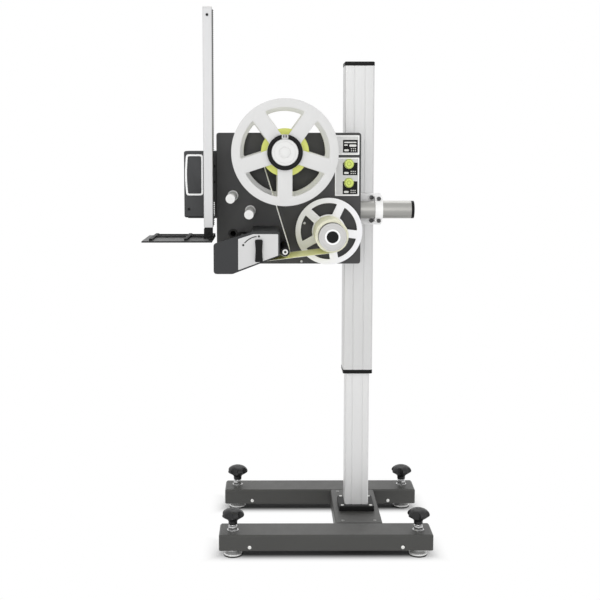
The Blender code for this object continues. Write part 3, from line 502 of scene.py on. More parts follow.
def slab(name, points, depth):
    # closed outline, filled and drawn out
    piece = penDown(name, points + points[:1])
    bpy.ops.mesh.remove_doubles(threshold=joinGap)
    bpy.ops.mesh.select_all(action="SELECT")
    bpy.ops.mesh.edge_face_add()
    bpy.ops.mesh.extrude_region_move(TRANSFORM_OT_translate={"value": depth})
    bpy.ops.object.mode_set(mode="OBJECT")
    return tidyMesh(piece)


def block(name, low, high):
    bpy.ops.object.select_all(action="DESELECT")
    middle = [(a + b) / 2 for a, b in zip(low, high)]
    bpy.ops.mesh.primitive_cube_add(size=1, location=middle)
    piece = bpy.context.object
    piece.name = name
    piece.scale = [abs(b - a) for a, b in zip(low, high)]
    return settle(piece)


def rod(name, centre, axis, radius, length, sides):
    bpy.ops.object.select_all(action="DESELECT")
    bpy.ops.mesh.primitive_cylinder_add(vertices=sides, radius=radius, depth=length, location=centre,
                                        rotation=axis.to_track_quat("Z", "Y").to_euler())
    piece = bpy.context.object
    piece.name = name
    return settle(piece)


def useModifier(piece, kind, **settings):
    pick(piece)
    step = piece.modifiers.new(kind.title(), kind)
    for key, value in settings.items():
        setattr(step, key, value)
    bpy.ops.object.modifier_apply(modifier=step.name)


def carve(piece, tool):
    useModifier(piece, "BOOLEAN", operation="DIFFERENCE", solver="EXACT", object=tool)
    bpy.data.objects.remove(tool, do_unlink=True)


def soften(piece, width, segments=2, angle=35):
    useModifier(piece, "BEVEL", width=width, segments=segments, limit_method="ANGLE",
                angle_limit=math.radians(angle))


def roundEdges(piece, test, offset, segments=4, sharp=40):
    # bevel only the sharp edges that the test picks
    pick(piece)
    bpy.ops.object.mode_set(mode="EDIT")
    bpy.ops.mesh.select_mode(type="EDGE")
    form = bmesh.from_edit_mesh(piece.data)
    for edge in form.edges:
        steep = edge.calc_face_angle(0) > math.radians(sharp)
        edge.select_set(steep and test(edge.verts[0].co, edge.verts[1].co))
    bmesh.update_edit_mesh(piece.data)
    bpy.ops.mesh.bevel(offset=offset, segments=segments, affect="EDGES")
    bpy.ops.mesh.select_mode(type="VERT")
    bpy.ops.object.mode_set(mode="OBJECT")


def along(axis):
    # edge test: the edge runs in the direction of the axis
    return lambda first, second: abs((second - first).normalized().dot(axis)) > sameWay


def copied(piece, name, move):
    pick(piece)
    bpy.ops.object.duplicate(linked=False)
    twin = bpy.context.object
    twin.name = name
    twin.matrix_world = move
    return settle(twin)


def hand(piece, body, finish, stands=(), angle=32):
    # shading, finish, body and the CAD nodes that the piece stands for
    pick(piece)
    bpy.ops.object.shade_smooth_by_angle(angle=math.radians(angle))
    piece.data.materials.clear()
    piece.data.materials.append(finishSet[finish])
    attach(piece, body)
    for node in stands:
        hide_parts(node)


def depths(node):
    # how far a CAD node's rear and front are ahead of the main plate
    low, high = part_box(node)
    return faceY - high[1], faceY - low[1]


def ringProfile(inner, outer, rear, front, edge):
    return [(inner, rear), (outer, rear), (outer, front - edge), (outer - edge, front),
            (inner + edge, front), (inner, front - edge), (inner, rear)]


# Label reel and liner rewinder: spoked flanges with rounded windows
reelSet = {"centre": reelPlace, "radius": 0.1405, "rim": 0.023, "spoke": 0.039, "disc": 0.047,
           "bore": 0.0383, "start": -90, "spokes": 5, "corner": 0.004, "edge": 0.0012}
reelRearSet = {**reelSet, "rim": 0.028, "spoke": 0.045}
rewindSet = {"centre": rewindPlace, "radius": 0.093, "rim": 0.0145, "spoke": 0.023, "disc": 0.047,
             "bore": 0.0203, "start": 65, "spokes": 5, "corner": 0.003, "edge": 0.0010}


def spokedFlange(name, part, rear, front):
    middle, thick = onHead(*part["centre"], (rear + front) / 2), front - rear
    through = 4 * thick
    flange = rod(name, middle, forward, part["radius"], thick, sides=160)
    windows = rod("windows", middle, forward, part["radius"] - part["rim"], 3 * thick, sides=160)
    carve(windows, rod("middle", middle, forward, part["disc"], through, sides=96))
    half = Vector((0, through / 2, part["spoke"] / 2))
    about = Matrix.Translation(middle)
    for k in range(part["spokes"]):
        turn = math.radians(part["start"] + k * 360 / part["spokes"])
        bar = block("bar", middle - half, middle + half + right * part["radius"])
        bar.matrix_world = about @ Matrix.Rotation(-turn, 4, "Y") @ about.inverted()
        carve(windows, settle(bar))
    roundEdges(windows, along(forward), part["corner"])
    carve(flange, windows)
    carve(flange, rod("bore", middle, forward, part["bore"], through, sides=96))
    soften(flange, part["edge"], segments=3)
    return flange


def makeFlanges():
    for name, part, node, body, finish in (
            ("reelFlangeFront", reelSet, "reel_front_flange", "unwind_reel", "reel"),
            ("reelFlangeRear", reelRearSet, "reel_rear_flange", "unwind_reel", "reel"),
            ("rewindFlange", rewindSet, "rewind_flange", "rewind_reel", "rewinder")):
        hand(spokedFlange(name, part, *depths(node)), body, finish, [node])


# Wound rolls: the front face shows the layers as fine ridges
rollSet = {"label": {"node": "label_roll", "body": "unwind_reel", "centre": reelPlace, "inner": 0.0383,
                     "outer": 0.063, "finish": "labelRoll"},
           "liner": {"node": "liner_roll", "body": "rewind_reel", "centre": rewindPlace, "inner": 0.0368,
                     "outer": 0.044, "finish": "linerRoll"}}
layerPitch, layerDepth = 0.0012, 0.00025


def makeRolls():
    for name, roll in rollSet.items():
        rear, front = depths(roll["node"])
        inner, outer = roll["inner"], roll["outer"]
        count = 2 * int((outer - inner) / layerPitch)
        profile = [(inner, rear), (outer, rear)]
        for k in range(count + 1):
            profile.append((outer + (inner - outer) * k / count, front - layerDepth * (k % 2)))
        profile.append((inner, rear))
        piece = turned(name + "Roll", profile, onHead(*roll["centre"]), forward, steps=96)
        hand(piece, roll["body"], roll["finish"], [roll["node"]], angle=20)


# Hub in front of the label reel: dark ring with a light latch, pale cap with fine grooves
hubSet = {"ring": [(0.0356, 0.1953), (0.0465, 0.1953), (0.0465, 0.2012), (0.0453, 0.2026), (0.0441, 0.2030),
                   (0.0386, 0.2030), (0.0376, 0.2025), (0.0370, 0.2016), (0.0356, 0.2016), (0.0356, 0.1953)],
          "cap": [(0, 0.1953), (0.0353, 0.1953), (0.0353, 0.1992), (0.0344, 0.2003), (0.0290, 0.2005),
                  (0.0285, 0.1998), (0.0276, 0.1998), (0.0271, 0.2005), (0.0156, 0.2006), (0.0151, 0.1999),
                  (0.0141, 0.1999), (0.0136, 0.2011), (0.0126, 0.2016), (0.0050, 0.2019), (0, 0.2019)],
          "latch": {"half": 0.0085, "low": 0.0352, "high": 0.0460, "rear": 0.2010, "front": 0.2042,
                    "edge": 0.0006},
          "slot": {"places": (-0.0042, 0, 0.0042), "half": 0.0011, "above": 0.003, "depth": 0.0016,
                   "past": 0.002}}


def makeHub():
    centre = onHead(*reelPlace)
    ring = turned("hubRing", hubSet["ring"], centre, forward, steps=96)
    hand(ring, "unwind_reel", "black", ["hub_ring"])
    cap = turned("hubCap", hubSet["cap"], centre, forward, steps=96)
    hand(cap, "unwind_reel", "cap", ["hub_cap"])
    part, slot = hubSet["latch"], hubSet["slot"]
    x, z = reelPlace
    low, high, front = z + part["low"], z + part["high"], part["front"]
    latch = block("hubLatch", onHead(x - part["half"], low, part["rear"]),
                  onHead(x + part["half"], high, front))
    for place in slot["places"]:
        left, far = x + place - slot["half"], x + place + slot["half"]
        carve(latch, block("slot", onHead(left, low + slot["above"], front - slot["depth"]),
                           onHead(far, high + slot["past"], front + slot["past"])))
    soften(latch, part["edge"])
    hand(latch, "unwind_reel", "silver")


# Rewinder mandrel: dark sleeve, grey front disc, pale ring round a dark plug that is painted shade in place
# of the bore
mandrelSet = {"sleeve": [(0, 0.2203), (0, -0.026), (0.008, -0.026), (0.008, 0.003), (0.030, 0.003),
                         (0.030, 0.0247), (0.020, 0.0247), (0.020, 0.0303), (0.0362, 0.0303),
                         (0.0365, 0.0310), (0.0365, 0.2195), (0.0357, 0.2203), (0, 0.2203)],
              "disc": [(0.0206, 0.2205), (0.0357, 0.2205), (0.0365, 0.2213), (0.0365, 0.2218),
                       (0.0353, 0.2230), (0.0318, 0.2232), (0.0313, 0.2226), (0.0304, 0.2226),
                       (0.0299, 0.2231), (0.0206, 0.2231), (0.0206, 0.2205)],
              "ring": [(0.0157, 0.2205), (0.0204, 0.2205), (0.0204, 0.2232), (0.0198, 0.2238),
                       (0.0167, 0.2238), (0.0157, 0.2230), (0.0157, 0.2205)],
              "plug": [(0, 0.2205), (0.0154, 0.2205), (0.0154, 0.2218), (0.0144, 0.2225), (0.0040, 0.2227),
                       (0.0035, 0.2220), (0, 0.2220)]}


def makeMandrel():
    for name, finish, slot, stands in (("sleeve", "black", "black_plastic", ["rewind_mandrel"]),
                                       ("disc", "disc", "reel_plastic", []),
                                       ("ring", "white", "reel_plastic", []),
                                       # the dark plug is painted shade: black fills the bore where only its
                                       # shade would show
                                       ("plug", "black", "black_plastic", [])):
        piece = turned("mandrel" + name.title(), mandrelSet[name], onHead(*rewindPlace), forward, steps=96)
        hand(piece, "rewind_reel", finish, stands)


makeFlanges()
makeRolls()
makeHub()
makeMandrel()
print("reels made")


# Rollers: pale sleeves on the idle pair and a dark one at the deflection, each with a pale end and a pin
idleSet = {"radius": 0.0125, "front": 0.180, "rim": 0.0123, "hole": 0.0016, "finish": "sleeve",
           "pin": "pale", "washer": (0.0055, 0.0150, -0.0004, 0.0017, 0.0004)}
rollerSet = {"idleUpper": {"node": "idle_roller_upper", "place": (-0.3606, 1.0138), **idleSet},
             "idleLower": {"node": "idle_roller_lower", "place": (-0.3118, 0.9719), **idleSet},
             "deflection": {"node": "deflection_roller", "place": (-0.2160, 0.8744), "radius": 0.0120,
                            "front": 0.195, "rim": 0.0074, "hole": 0.0032, "finish": "black",
                            "pin": "black"}}
sleeveSet = {"shaft": 0.005, "rear": -0.010, "shoulder": 0.002, "inset": 0.0012, "edge": 0.0006}
endSet = {"depth": 0.0010, "height": 0.0010, "edge": 0.0008, "lip": 0.0005}
pinSet = {"gap": 0.0003, "height": 0.0006, "edge": 0.0004}


def sleeveProfile(radius, front):
    shaft, rear, shoulder, inset, edge = sleeveSet.values()
    top = front - inset
    return [(0, top), (0, rear), (shaft, rear), (shaft, shoulder), (radius - edge, shoulder),
            (radius, shoulder + edge), (radius, top - edge), (radius - edge, top), (0, top)]


def endProfile(rim, hole, front):
    depth, height, edge, lip = endSet.values()
    base, top = front - depth, front + height
    return [(hole, base), (rim, base), (rim, top - edge), (rim - edge, top), (hole + lip, top),
            (hole, top - lip), (hole, base)]


def pinProfile(hole, front):
    gap, height, edge = pinSet.values()
    base, top, radius = front - endSet["depth"], front + height, hole - gap
    return [(0, base), (radius, base), (radius, top - edge), (radius - edge, top), (0, top)]


def makeRollers():
    for name, roller in rollerSet.items():
        node, front, hole, centre = roller["node"], roller["front"], roller["hole"], onHead(*roller["place"])
        sleeve = turned(name + "Sleeve", sleeveProfile(roller["radius"], front), centre, forward, steps=64)
        hand(sleeve, node, roller["finish"], [node])
        end = turned(name + "End", endProfile(roller["rim"], hole, front), centre, forward, steps=64)
        hand(end, node, "cap")
        pin = turned(name + "Pin", pinProfile(hole, front), centre, forward, steps=32)
        hand(pin, node, roller["pin"])
        if "washer" in roller:
            washer = turned(name + "Washer", ringProfile(*roller["washer"]), centre, forward, steps=48)
            hand(washer, "head", "white")


# Web: a strip that follows the rolls and rollers by tangents, with minus where it passes on the other side
webSet = {"thick": 0.0006, "lift": 0.0006, "bend": 6, "drive": ((-0.262, 0.868), 0.017),
          "peel": ((-0.397, 0.860), 0.002)}


def webStops():
    deflection = rollerSet["deflection"]
    stops = ((reelPlace, rollSet["label"]["outer"]), (deflection["place"], -deflection["radius"]),
             webSet["drive"], webSet["peel"], webSet["drive"], (rewindPlace, rollSet["liner"]["outer"]))
    return [(centre, radius + math.copysign(webSet["lift"], radius)) for centre, radius in stops]


def webLine():
    stops, headings, line = webStops(), [], []
    for (a, first), (b, second) in zip(stops, stops[1:]):
        lean = math.asin((second - first) / math.dist(a, b))
        headings.append(math.atan2(b[1] - a[1], b[0] - a[0]) - lean)
    for k, ((x, z), radius) in enumerate(stops):
        first, last = headings[max(k - 1, 0)], headings[min(k, len(headings) - 1)]
        sweep = (last - first) % math.tau if radius > 0 else -((first - last) % math.tau)
        count = max(1, round(abs(math.degrees(sweep)) / webSet["bend"])) if sweep else 1
        for step in range(count + 1 if sweep else 1):
            heading = first + sweep * step / count
            line.append((x + radius * math.sin(heading), z - radius * math.cos(heading), heading))
    return line


def makeWeb():
    half, line = webSet["thick"] / 2, webLine()
    left = [onHead(x - half * math.sin(h), z + half * math.cos(h), webRear) for x, z, h in line]
    below = [onHead(x + half * math.sin(h), z - half * math.cos(h), webRear) for x, z, h in line]
    web = slab("carrierWeb", left + below[::-1], forward * (webFront - webRear))
    hand(web, "head", "web", ["carrier_web"], angle=40)


# Controls: pale rims round the plates, dark legend squares with plain marks, push-buttons in bezels
rimSet = {"inset": 0.0004, "width": 0.0030, "rear": 0.0018, "front": 0.0021, "corner": 0.0016, "past": 0.01}
legendSet = {"x": (-0.053, -0.012), "z": ((1.134, 1.169), (1.071, 1.106), (1.018, 1.054)),
             "rear": 0.0018, "front": 0.0023, "corner": 0.0012}
markSet = {"rise": 0.0003, "round": 0.45, "pill": ((0.0035, 0.0035, 0.0130, 0.0055),), "dot": 0.0030,
           "pitch": 0.0055, "grid": (0.0220, 0.0035), "columns": 3, "rows": 2,
           "bars": ((0.0035, 0.0265, 0.0340, 0.0034), (0.0035, 0.0190, 0.0100, 0.0034),
                    (0.0175, 0.0160, 0.0200, 0.0064))}
buttonSet = {"cap": [(0, -0.009), (0.0057, -0.009), (0.0057, 0.0053), (0.0116, 0.0053), (0.0119, 0.0058),
                     (0.0119, 0.0084), (0.0113, 0.0097), (0.0100, 0.0105), (0.0072, 0.0109),
                     (0.0066, 0.0105), (0.0048, 0.0105), (0.0042, 0.0110), (0, 0.0112)],
             "bezel": (0.0123, 0.0137, 0.0020, 0.0052, 0.0006), "hole": 0.0140, "through": 0.02}


def platePanel(name, plate, inset, rear, front):
    low, high = (Vector(corner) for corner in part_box(plate))
    margin = Vector((inset, 0, inset))
    low, high = low + margin, high - margin
    low.y, high.y = faceY - rear, faceY - front
    panel = block(name, low, high)
    roundEdges(panel, along(forward), rimSet["corner"])
    return panel


def makePlateRims():
    for name in ("upper", "lower"):
        plate, inset = "control_plate_" + name, rimSet["inset"]
        rim = platePanel("plateRim" + name.title(), plate, inset, rimSet["rear"], rimSet["front"])
        carve(rim, platePanel("opening", plate, inset + rimSet["width"], 0, rimSet["past"]))
        hand(rim, "head", "white")


def markBar(name, left, low, wide, high):
    front = legendSet["front"]
    bar = block(name, onHead(left, low, front), onHead(left + wide, low + high, front + markSet["rise"]))
    roundEdges(bar, along(forward), markSet["round"] * min(wide, high))
    return bar


def makeMarks(name, left, low, plain):
    bars = markSet["pill"] + (markSet["bars"] if plain else ())
    made = [markBar(name, left + x, low + z, wide, high) for x, z, wide, high in bars]
    (x, z), dot, pitch = markSet["grid"], markSet["dot"], markSet["pitch"]
    for row in range(markSet["rows"]):
        for column in range(markSet["columns"]):
            made.append(markBar(name, left + x + column * pitch, low + z + row * pitch, dot, dot))
    pick(made[0])
    for bar in made:
        bar.select_set(True)
    bpy.ops.object.join()
    hand(made[0], "head", "cap")


def makeLegends():
    left, far = legendSet["x"]
    for k, (low, high) in enumerate(legendSet["z"]):
        square = block("legend%d" % k, onHead(left, low, legendSet["rear"]),
                       onHead(far, high, legendSet["front"]))
        roundEdges(square, along(forward), legendSet["corner"], segments=3)
        under = [height for height in buttonHeights.values() if low < height < high]
        for height in under:
            carve(square, rod("hole", onHead(buttonX, height), forward, buttonSet["hole"],
                              buttonSet["through"], sides=48))
        hand(square, "head", "black")
        makeMarks("legendMarks%d" % k, left, low, not under)


def makeButtons():
    for node, height in buttonHeights.items():
        name, centre = node.replace("_", ""), onHead(buttonX, height)
        cap = turned(name + "Cap", buttonSet["cap"], centre, forward, steps=64)
        hand(cap, node, "button", [node])
        bezel = turned(name + "Bezel", ringProfile(*buttonSet["bezel"]), centre, forward, steps=64)
        hand(bezel, "head", "button")


# Lever scale on the dispenser panel: an arc between two dots
scaleSet = {"pivot": (-0.2853, 0.8677), "radius": 0.0484, "width": 0.0026, "rear": 0.1964, "front": 0.1968,
            "arc": (97, 141), "steps": 24, "dots": (90, 148.5), "dot": 0.0029}


def onScale(radius, degrees, ahead=0):
    x, z = scaleSet["pivot"]
    turn = math.radians(degrees)
    return onHead(x + radius * math.cos(turn), z + radius * math.sin(turn), ahead)


def makeScale():
    radius, half = scaleSet["radius"], scaleSet["width"] / 2
    rear, front = scaleSet["rear"], scaleSet["front"]
    (first, last), steps = scaleSet["arc"], scaleSet["steps"]
    turns = [first + (last - first) * k / steps for k in range(steps + 1)]
    inside = [onScale(radius - half, turn, rear) for turn in turns]
    outside = [onScale(radius + half, turn, rear) for turn in reversed(turns)]
    hand(slab("scaleArc", inside + outside, forward * (front - rear)), "head", "black")
    profile = [(0, rear), (scaleSet["dot"], rear), (scaleSet["dot"], front), (0, front)]
    for k, degrees in enumerate(scaleSet["dots"]):
        dot = turned("scaleDot%d" % k, profile, onScale(radius, degrees), forward, steps=24)
        hand(dot, "head", "black")


makeRollers()
makeWeb()
makePlateRims()
makeLegends()
makeButtons()
makeScale()
print("rollers, web and controls made")


# Fasteners: three sizes of socket screw, each made once and copied to its places
screwSet = {"head": {"radius": 0.0060, "height": 0.0060, "socket": 0.0032, "depth": 0.0030},
            "flush": {"radius": 0.0048, "height": 0.0012, "socket": 0.0024, "depth": 0.0008},
            "small": {"radius": 0.0036, "height": 0.0022, "socket": 0.0017, "depth": 0.0012}}
screwRound, boomHeight = 0.18, 0.972
screwPlaces = {
    "clampCap": ("head", "lift", forward, "oxide",
                 [onStand(s * 0.052, -0.099, boomHeight + t * 0.0312) for s, t in fourWays]),
    "clampFlange": ("head", "lift", forward, "oxide",
                    [onStand(s * 0.0345, -0.0608, boomHeight + t * 0.0335) for s, t in fourWays]),
    "footPlate": ("flush", "stand", up, "pale", [onStand(s * 0.042, t * 0.042, 0.088) for s, t in fourWays]),
    "crossMember": ("flush", "stand", up, "screw",
                    [onStand(s * 0.046, t * 0.132, 0.073) for s, t in fourWays]),
    "driveBox": ("small", "head", forward, "black", [onHead(-0.4765, 0.9818, 0.095)]),
    "bracket": ("small", "head", forward, "black", [onHead(-0.4130, z, -0.0103) for z in (1.052, 1.096)]),
    "rail": ("small", "tamp", forward, "black", [onHead(-0.421, z, 0.145) for z in (0.921, 1.495)]),
    "plate": ("small", "head", forward, "screw", [onHead(-0.1596, 0.9366), onHead(-0.168, 0.8285)]),
    "rearCover": ("small", "head", -forward, "screw",
                  [onHead(x, z, -0.1053) for x in (-0.361, -0.174) for z in (0.842, 1.002, 1.162)]),
    "beltCover": ("small", "head", -forward, "screw",
                  [onHead(x, 0.9058, -0.0313) for x in (-0.149, -0.066)]),
    "boomHub": ("head", "head", -forward, "screw",
                [onStand(-0.125, -0.052, boomHeight + t * 0.0185) for t in (-1, 1)]),
}


def makeScrew(name):
    part = screwSet[name]
    height = part["height"]
    screw = rod(name, up * height / 2, up, part["radius"], height, sides=40)
    roundEdges(screw, lambda a, b: min(a.z, b.z) > height / 2, height * screwRound, segments=3, sharp=60)
    carve(screw, rod("socket", up * height, up, part["socket"], 2 * part["depth"], sides=6))
    return screw


def makeScrews():
    masters = {name: makeScrew(name) for name in screwSet}
    for name, (kind, body, axis, finish, places) in screwPlaces.items():
        turn = axis.to_track_quat("Z", "Y").to_matrix().to_4x4()
        for k, place in enumerate(places):
            screw = copied(masters[kind], "%sScrew%d" % (name, k), Matrix.Translation(place) @ turn)
            hand(screw, body, finish)
    for master in masters.values():
        bpy.data.objects.remove(master, do_unlink=True)


# Jack feet: domed star knob on a threaded spindle, nut and washer on the leg
jackSet = {"dome": [(0, 0.1358), (0.0060, 0.1357), (0.0065, 0.1348), (0.0078, 0.1348), (0.0083, 0.1354),
                    (0.0150, 0.1340), (0.0210, 0.1315), (0.0262, 0.1278), (0.0300, 0.1235),
                    (0.0318, 0.1198), (0.0322, 0.1172), (0.0314, 0.1150), (0.0290, 0.1128),
                    (0.0245, 0.1102), (0.0195, 0.1072), (0.0155, 0.1042), (0.0132, 0.1012),
                    (0.0125, 0.0985), (0.0125, 0.0920), (0.0110, 0.0900), (0, 0.0900)],
           "lobes": 5, "hollow": {"radius": 0.0145, "reach": 0.0368, "height": 0.12, "length": 0.06},
           "edge": 0.0016,
           "spindle": {"low": 0.0123, "top": 0.0897, "radius": 0.0080, "thread": 0.0007, "pitch": 0.002},
           "washer": (0.0086, 0.0165, 0.0732, 0.0752, 0.0005),
           "nut": {"low": 0.0752, "high": 0.0865, "radius": 0.0142, "bore": 0.0086, "through": 0.05,
                   "edge": 0.0009}}


def makeKnob():
    knob, hollow = turned("knob", jackSet["dome"], Vector(), up, steps=120), jackSet["hollow"]
    for k in range(jackSet["lobes"]):
        turn = math.tau * (k + 0.5) / jackSet["lobes"]
        place = hollow["reach"] * Vector((math.cos(turn), math.sin(turn), 0)) + up * hollow["height"]
        carve(knob, rod("hollow", place, up, hollow["radius"], hollow["length"], sides=48))
    soften(knob, jackSet["edge"], segments=3, angle=30)
    return knob


def makeSpindle():
    low, top, crest, thread, pitch = jackSet["spindle"].values()
    root, height = crest - thread, low + pitch
    profile = [(0, low), (root, low)]
    while height < top - pitch:
        profile += [(root, height), (crest, height + pitch / 2)]
        height += pitch
    return turned("spindle", profile + [(root, top), (0, top)], Vector(), up, steps=32)


def makeNut():
    part = jackSet["nut"]
    middle = up * (part["low"] + part["high"]) / 2
    nut = rod("nut", middle, up, part["radius"], part["high"] - part["low"], sides=6)
    carve(nut, rod("bore", middle, up, part["bore"], part["through"], sides=32))
    soften(nut, part["edge"], segments=3, angle=25)
    return nut


def footCentre(corner):
    low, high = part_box("foot_" + corner)
    return Vector(((low[0] + high[0]) / 2, (low[1] + high[1]) / 2, 0))


def makeJacks():
    knob, spindle = makeKnob(), makeSpindle()
    washer = turned("washer", ringProfile(*jackSet["washer"]), Vector(), up, steps=48)
    nut = makeNut()
    for corner in corners:
        label, jack = corner.title().replace("_", ""), "jack_" + corner
        move = Matrix.Translation(footCentre(corner))
        hand(copied(knob, "knob" + label, move), jack, "knob", [jack])
        hand(copied(spindle, "spindle" + label, move), jack, "chrome")
        hand(copied(washer, "washer" + label, move), "stand", "chrome")
        hand(copied(nut, "nut" + label, move), "stand", "chrome")
    for master in (knob, spindle, washer, nut):
        bpy.data.objects.remove(master, do_unlink=True)


# Foot discs with a rubber pad below, and the wheels inside the legs, given as half of their profile
footSet = {"disc": [(0, 0.0044), (0.0252, 0.0044), (0.0258, 0.0050), (0.0258, 0.0082), (0.0250, 0.0094),
                    (0.0205, 0.0112), (0.0150, 0.0132), (0.0138, 0.0146), (0.0125, 0.0230),
                    (0.0117, 0.0240), (0.0092, 0.0240), (0.0083, 0.0232), (0.0083, 0.0121), (0, 0.0121)],
           "pad": [(0, 0), (0.0244, 0), (0.0254, 0.0006), (0.0258, 0.0016), (0.0258, 0.0036),
                   (0.0254, 0.0043), (0, 0.0043)],
           "wheel": [(0.0064, 0.0170), (0.0105, 0.0170), (0.0112, 0.0200), (0.0170, 0.0200),
                     (0.0178, 0.0185), (0.0196, 0.0185), (0.0204, 0.0198), (0.0222, 0.0192),
                     (0.0235, 0.0174), (0.0240, 0.0148)]}


def makeFeet():
    half = footSet["wheel"]
    tyre = half + [(r, -a) for r, a in reversed(half)] + half[:1]
    for corner in corners:
        label, foot, wheel = corner.title().replace("_", ""), "foot_" + corner, "wheel_" + corner
        centre = footCentre(corner)
        disc = turned("footDisc" + label, footSet["disc"], centre, up, steps=64)
        hand(disc, foot, "zinc", [foot])
        pad = turned("footPad" + label, footSet["pad"], centre, up, steps=64)
        hand(pad, foot, "rubber")
        low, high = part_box(wheel)
        piece = turned("wheel" + label, tyre, (Vector(low) + Vector(high)) / 2, forward, steps=64)
        hand(piece, wheel, "rubber", [wheel])


# Axle ends on the legs' faces, each face with its depth and the way it looks
axleSet = {"profile": [(0, 0.0008), (0.0050, 0.0008), (0.0050, 0.0013), (0.0046, 0.0016), (0.0041, 0.0017),
                       (0.0039, 0.0024), (0.0032, 0.0028), (0.0014, 0.0029), (0.0012, 0.0022), (0, 0.0022)],
           "middle": -0.1, "spread": 0.214, "height": 0.038,
           "faces": ((-0.250, -1), (-0.150, 1), (0.150, -1), (0.250, 1))}


def makeAxleEnds():
    for side in (-1, 1):
        for depth, way in axleSet["faces"]:
            name = "axleEnd%d%d" % (side + 1, round(depth * 100) + 25)
            centre = onStand(axleSet["middle"] + side * axleSet["spread"], depth, axleSet["height"])
            end = turned(name, axleSet["profile"], centre, Vector((0, way, 0)), steps=40)
            hand(end, "stand", "pale")


makeScrews()
makeJacks()
makeFeet()
makeAxleEnds()
print("stand details made")


# Tamp axis: toothed belt in the rail's groove, end plate, dark panel in the cover frame
beltSet = {"back": -0.4119, "root": -0.4078, "tip": -0.4056, "rear": 0.1213, "front": 0.1287,
           "low": 0.940, "high": 1.510, "pitch": 0.005, "tooth": (0, 0.0018, 0.0023, 0.0043)}
railEndSet = {"low": (-0.4330, 1.5142, 0.105), "high": (-0.4090, 1.5172, 0.145), "corner": 0.0022,
              "edge": 0.0006}
windowSet = {"left": -0.4817, "far": -0.4423, "bottom": 1.0243, "top": 1.1247, "bulge": 0.004, "steps": 12,
             "rear": 0.0953, "front": 0.0968, "corner": 0.0036, "edge": 0.0005}


def makeBelt():
    part = beltSet
    low, high, rear, root, tip = part["low"], part["high"], part["rear"], part["root"], part["tip"]
    points = [onHead(part["back"], high, rear), onHead(part["back"], low, rear)]
    for k in range(int((high - low) / part["pitch"])):
        for x, rise in zip((root, root, tip, tip), part["tooth"]):
            points.append(onHead(x, low + k * part["pitch"] + rise, rear))
    points.append(onHead(root, high, rear))
    hand(slab("railBelt", points, forward * (part["front"] - rear)), "tamp", "rubber")


def makeRailEnd():
    plate = block("railEnd", onHead(*railEndSet["low"]), onHead(*railEndSet["high"]))
    roundEdges(plate, along(up), railEndSet["corner"], segments=3)
    soften(plate, railEndSet["edge"])
    hand(plate, "tamp", "cap")


def makeAxisWindow():
    # the left side is a shallow arc
    part = windowSet
    bottom, top, rear = part["bottom"], part["top"], part["rear"]
    points = []
    for k in range(part["steps"] + 1):
        share = k / part["steps"]
        x = part["left"] + part["bulge"] * (1 - 4 * share * (1 - share))
        points.append(onHead(x, top + (bottom - top) * share, rear))
    points += [onHead(part["far"], bottom, rear), onHead(part["far"], top, rear)]
    window = slab("axisWindow", points, forward * (part["front"] - rear))
    roundEdges(window, along(forward), part["corner"])
    soften(window, part["edge"])
    hand(window, "head", "housing")


makeBelt()
makeRailEnd()
makeAxisWindow()
print("tamp axis details made")


# Cable gland on the back of the head, closed by a plug
glandSet = {"place": (-0.330, 0.858, -0.1053), "nut": {"radius": 0.0135, "height": 0.008, "edge": 0.0012},
            "dome": [(0.0052, 0.0082), (0.0112, 0.0082), (0.0112, 0.0150), (0.0100, 0.0185),
                     (0.0078, 0.0205), (0.0058, 0.0208), (0.0052, 0.0200), (0.0052, 0.0082)],
            "plug": [(0, 0.0084), (0.0050, 0.0084), (0.0050, 0.0188), (0, 0.0192)]}


def makeGland():
    base, part = onHead(*glandSet["place"]), glandSet["nut"]
    middle = base - forward * part["height"] / 2
    nut = rod("glandNut", middle, forward, part["radius"], part["height"], sides=6)
    soften(nut, part["edge"], segments=3, angle=25)
    hand(nut, "head", "black")
    dome = turned("glandDome", glandSet["dome"], base, -forward, steps=48)
    hand(dome, "head", "black")
    plug = turned("glandPlug", glandSet["plug"], base, -forward, steps=32)
    hand(plug, "head", "rubber")


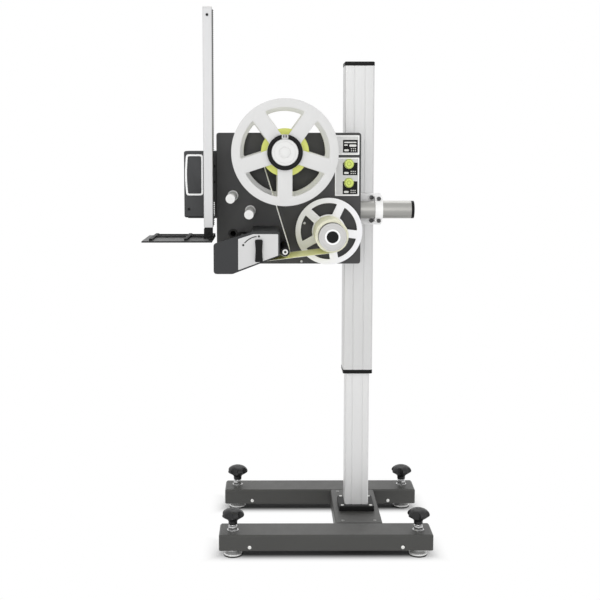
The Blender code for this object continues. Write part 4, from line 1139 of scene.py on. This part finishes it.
# Front of the plate: rubber ring in the cable hole, label sensor beside the dispenser
sensorSet = {"ring": [(0.0072, -0.0105), (0.0107, -0.0105), (0.0107, 0.0002), (0.0135, 0.0002),
                      (0.0138, 0.0010), (0.0128, 0.0022), (0.0092, 0.0024), (0.0076, 0.0014),
                      (0.0072, -0.0105)],
             "hole": (-0.360, 0.907), "low": (-0.3440, 0.8985, 0.0003), "high": (-0.3240, 0.9125, 0.0240),
             "edge": 0.0014, "eye": (-0.334, 0.9055, 0.0240), "eyeHole": 0.0042, "eyeDepth": 0.0015,
             "lens": [(0, -0.0014), (0.0040, -0.0014), (0.0040, -0.0010), (0.0030, -0.0004), (0, -0.0001)]}


def makeSensor():
    ring = turned("cableRing", sensorSet["ring"], onHead(*sensorSet["hole"]), forward, steps=64)
    hand(ring, "head", "rubber")
    eye = onHead(*sensorSet["eye"])
    body = block("sensorBody", onHead(*sensorSet["low"]), onHead(*sensorSet["high"]))
    carve(body, rod("eyeHole", eye, forward, sensorSet["eyeHole"], 2 * sensorSet["eyeDepth"], sides=32))
    soften(body, sensorSet["edge"], segments=3)
    hand(body, "head", "black")
    lens = turned("sensorEye", sensorSet["lens"], eye, forward, steps=32)
    hand(lens, "head", "gloss")


makeGland()
makeSensor()
print("gland and sensor made")


# CAD nodes that stay: joined corners, small rounded edges and clean shading, mesh untouched
edgeSet = {0.0018: ("release_lever",),
           0.0014: ("front_leg", "rear_leg", "column_foot_plate", "axis_drive_box"),
           0.0010: ("main_plate", "dispenser_cover", "rear_cover", "belt_cover", "dispenser_box",
                    "clamp_bracket", "clamp_cap_left", "clamp_cap_right", "axis_bracket", "boom_hub"),
           0.0006: ("cross_member", "tamp_pad", "rail_foot", "column_top_cap", "column_collar", "boom_tube",
                    "boom_end_cap", "tamp_rail", "axis_cover_frame"),
           0.0003: ("dispenser_panel", "control_plate_upper", "control_plate_lower", "outer_column",
                    "inner_column")}
easeSet = {"weld": 0.00001, "segments": 2, "angle": 38}


def easeNodes():
    for width, names in edgeSet.items():
        for name in names:
            node = nodes[name]
            node.data.shade_smooth()
            weld = node.modifiers.new("Weld", "WELD")
            weld.merge_threshold = easeSet["weld"]
            ease = node.modifiers.new("Bevel", "BEVEL")
            ease.width, ease.segments, ease.limit_method = width, easeSet["segments"], "ANGLE"
            ease.angle_limit = math.radians(easeSet["angle"])
            clean = node.modifiers.new("Normals", "WEIGHTED_NORMAL")
            clean.keep_sharp = True


easeNodes()
print("CAD edges eased")
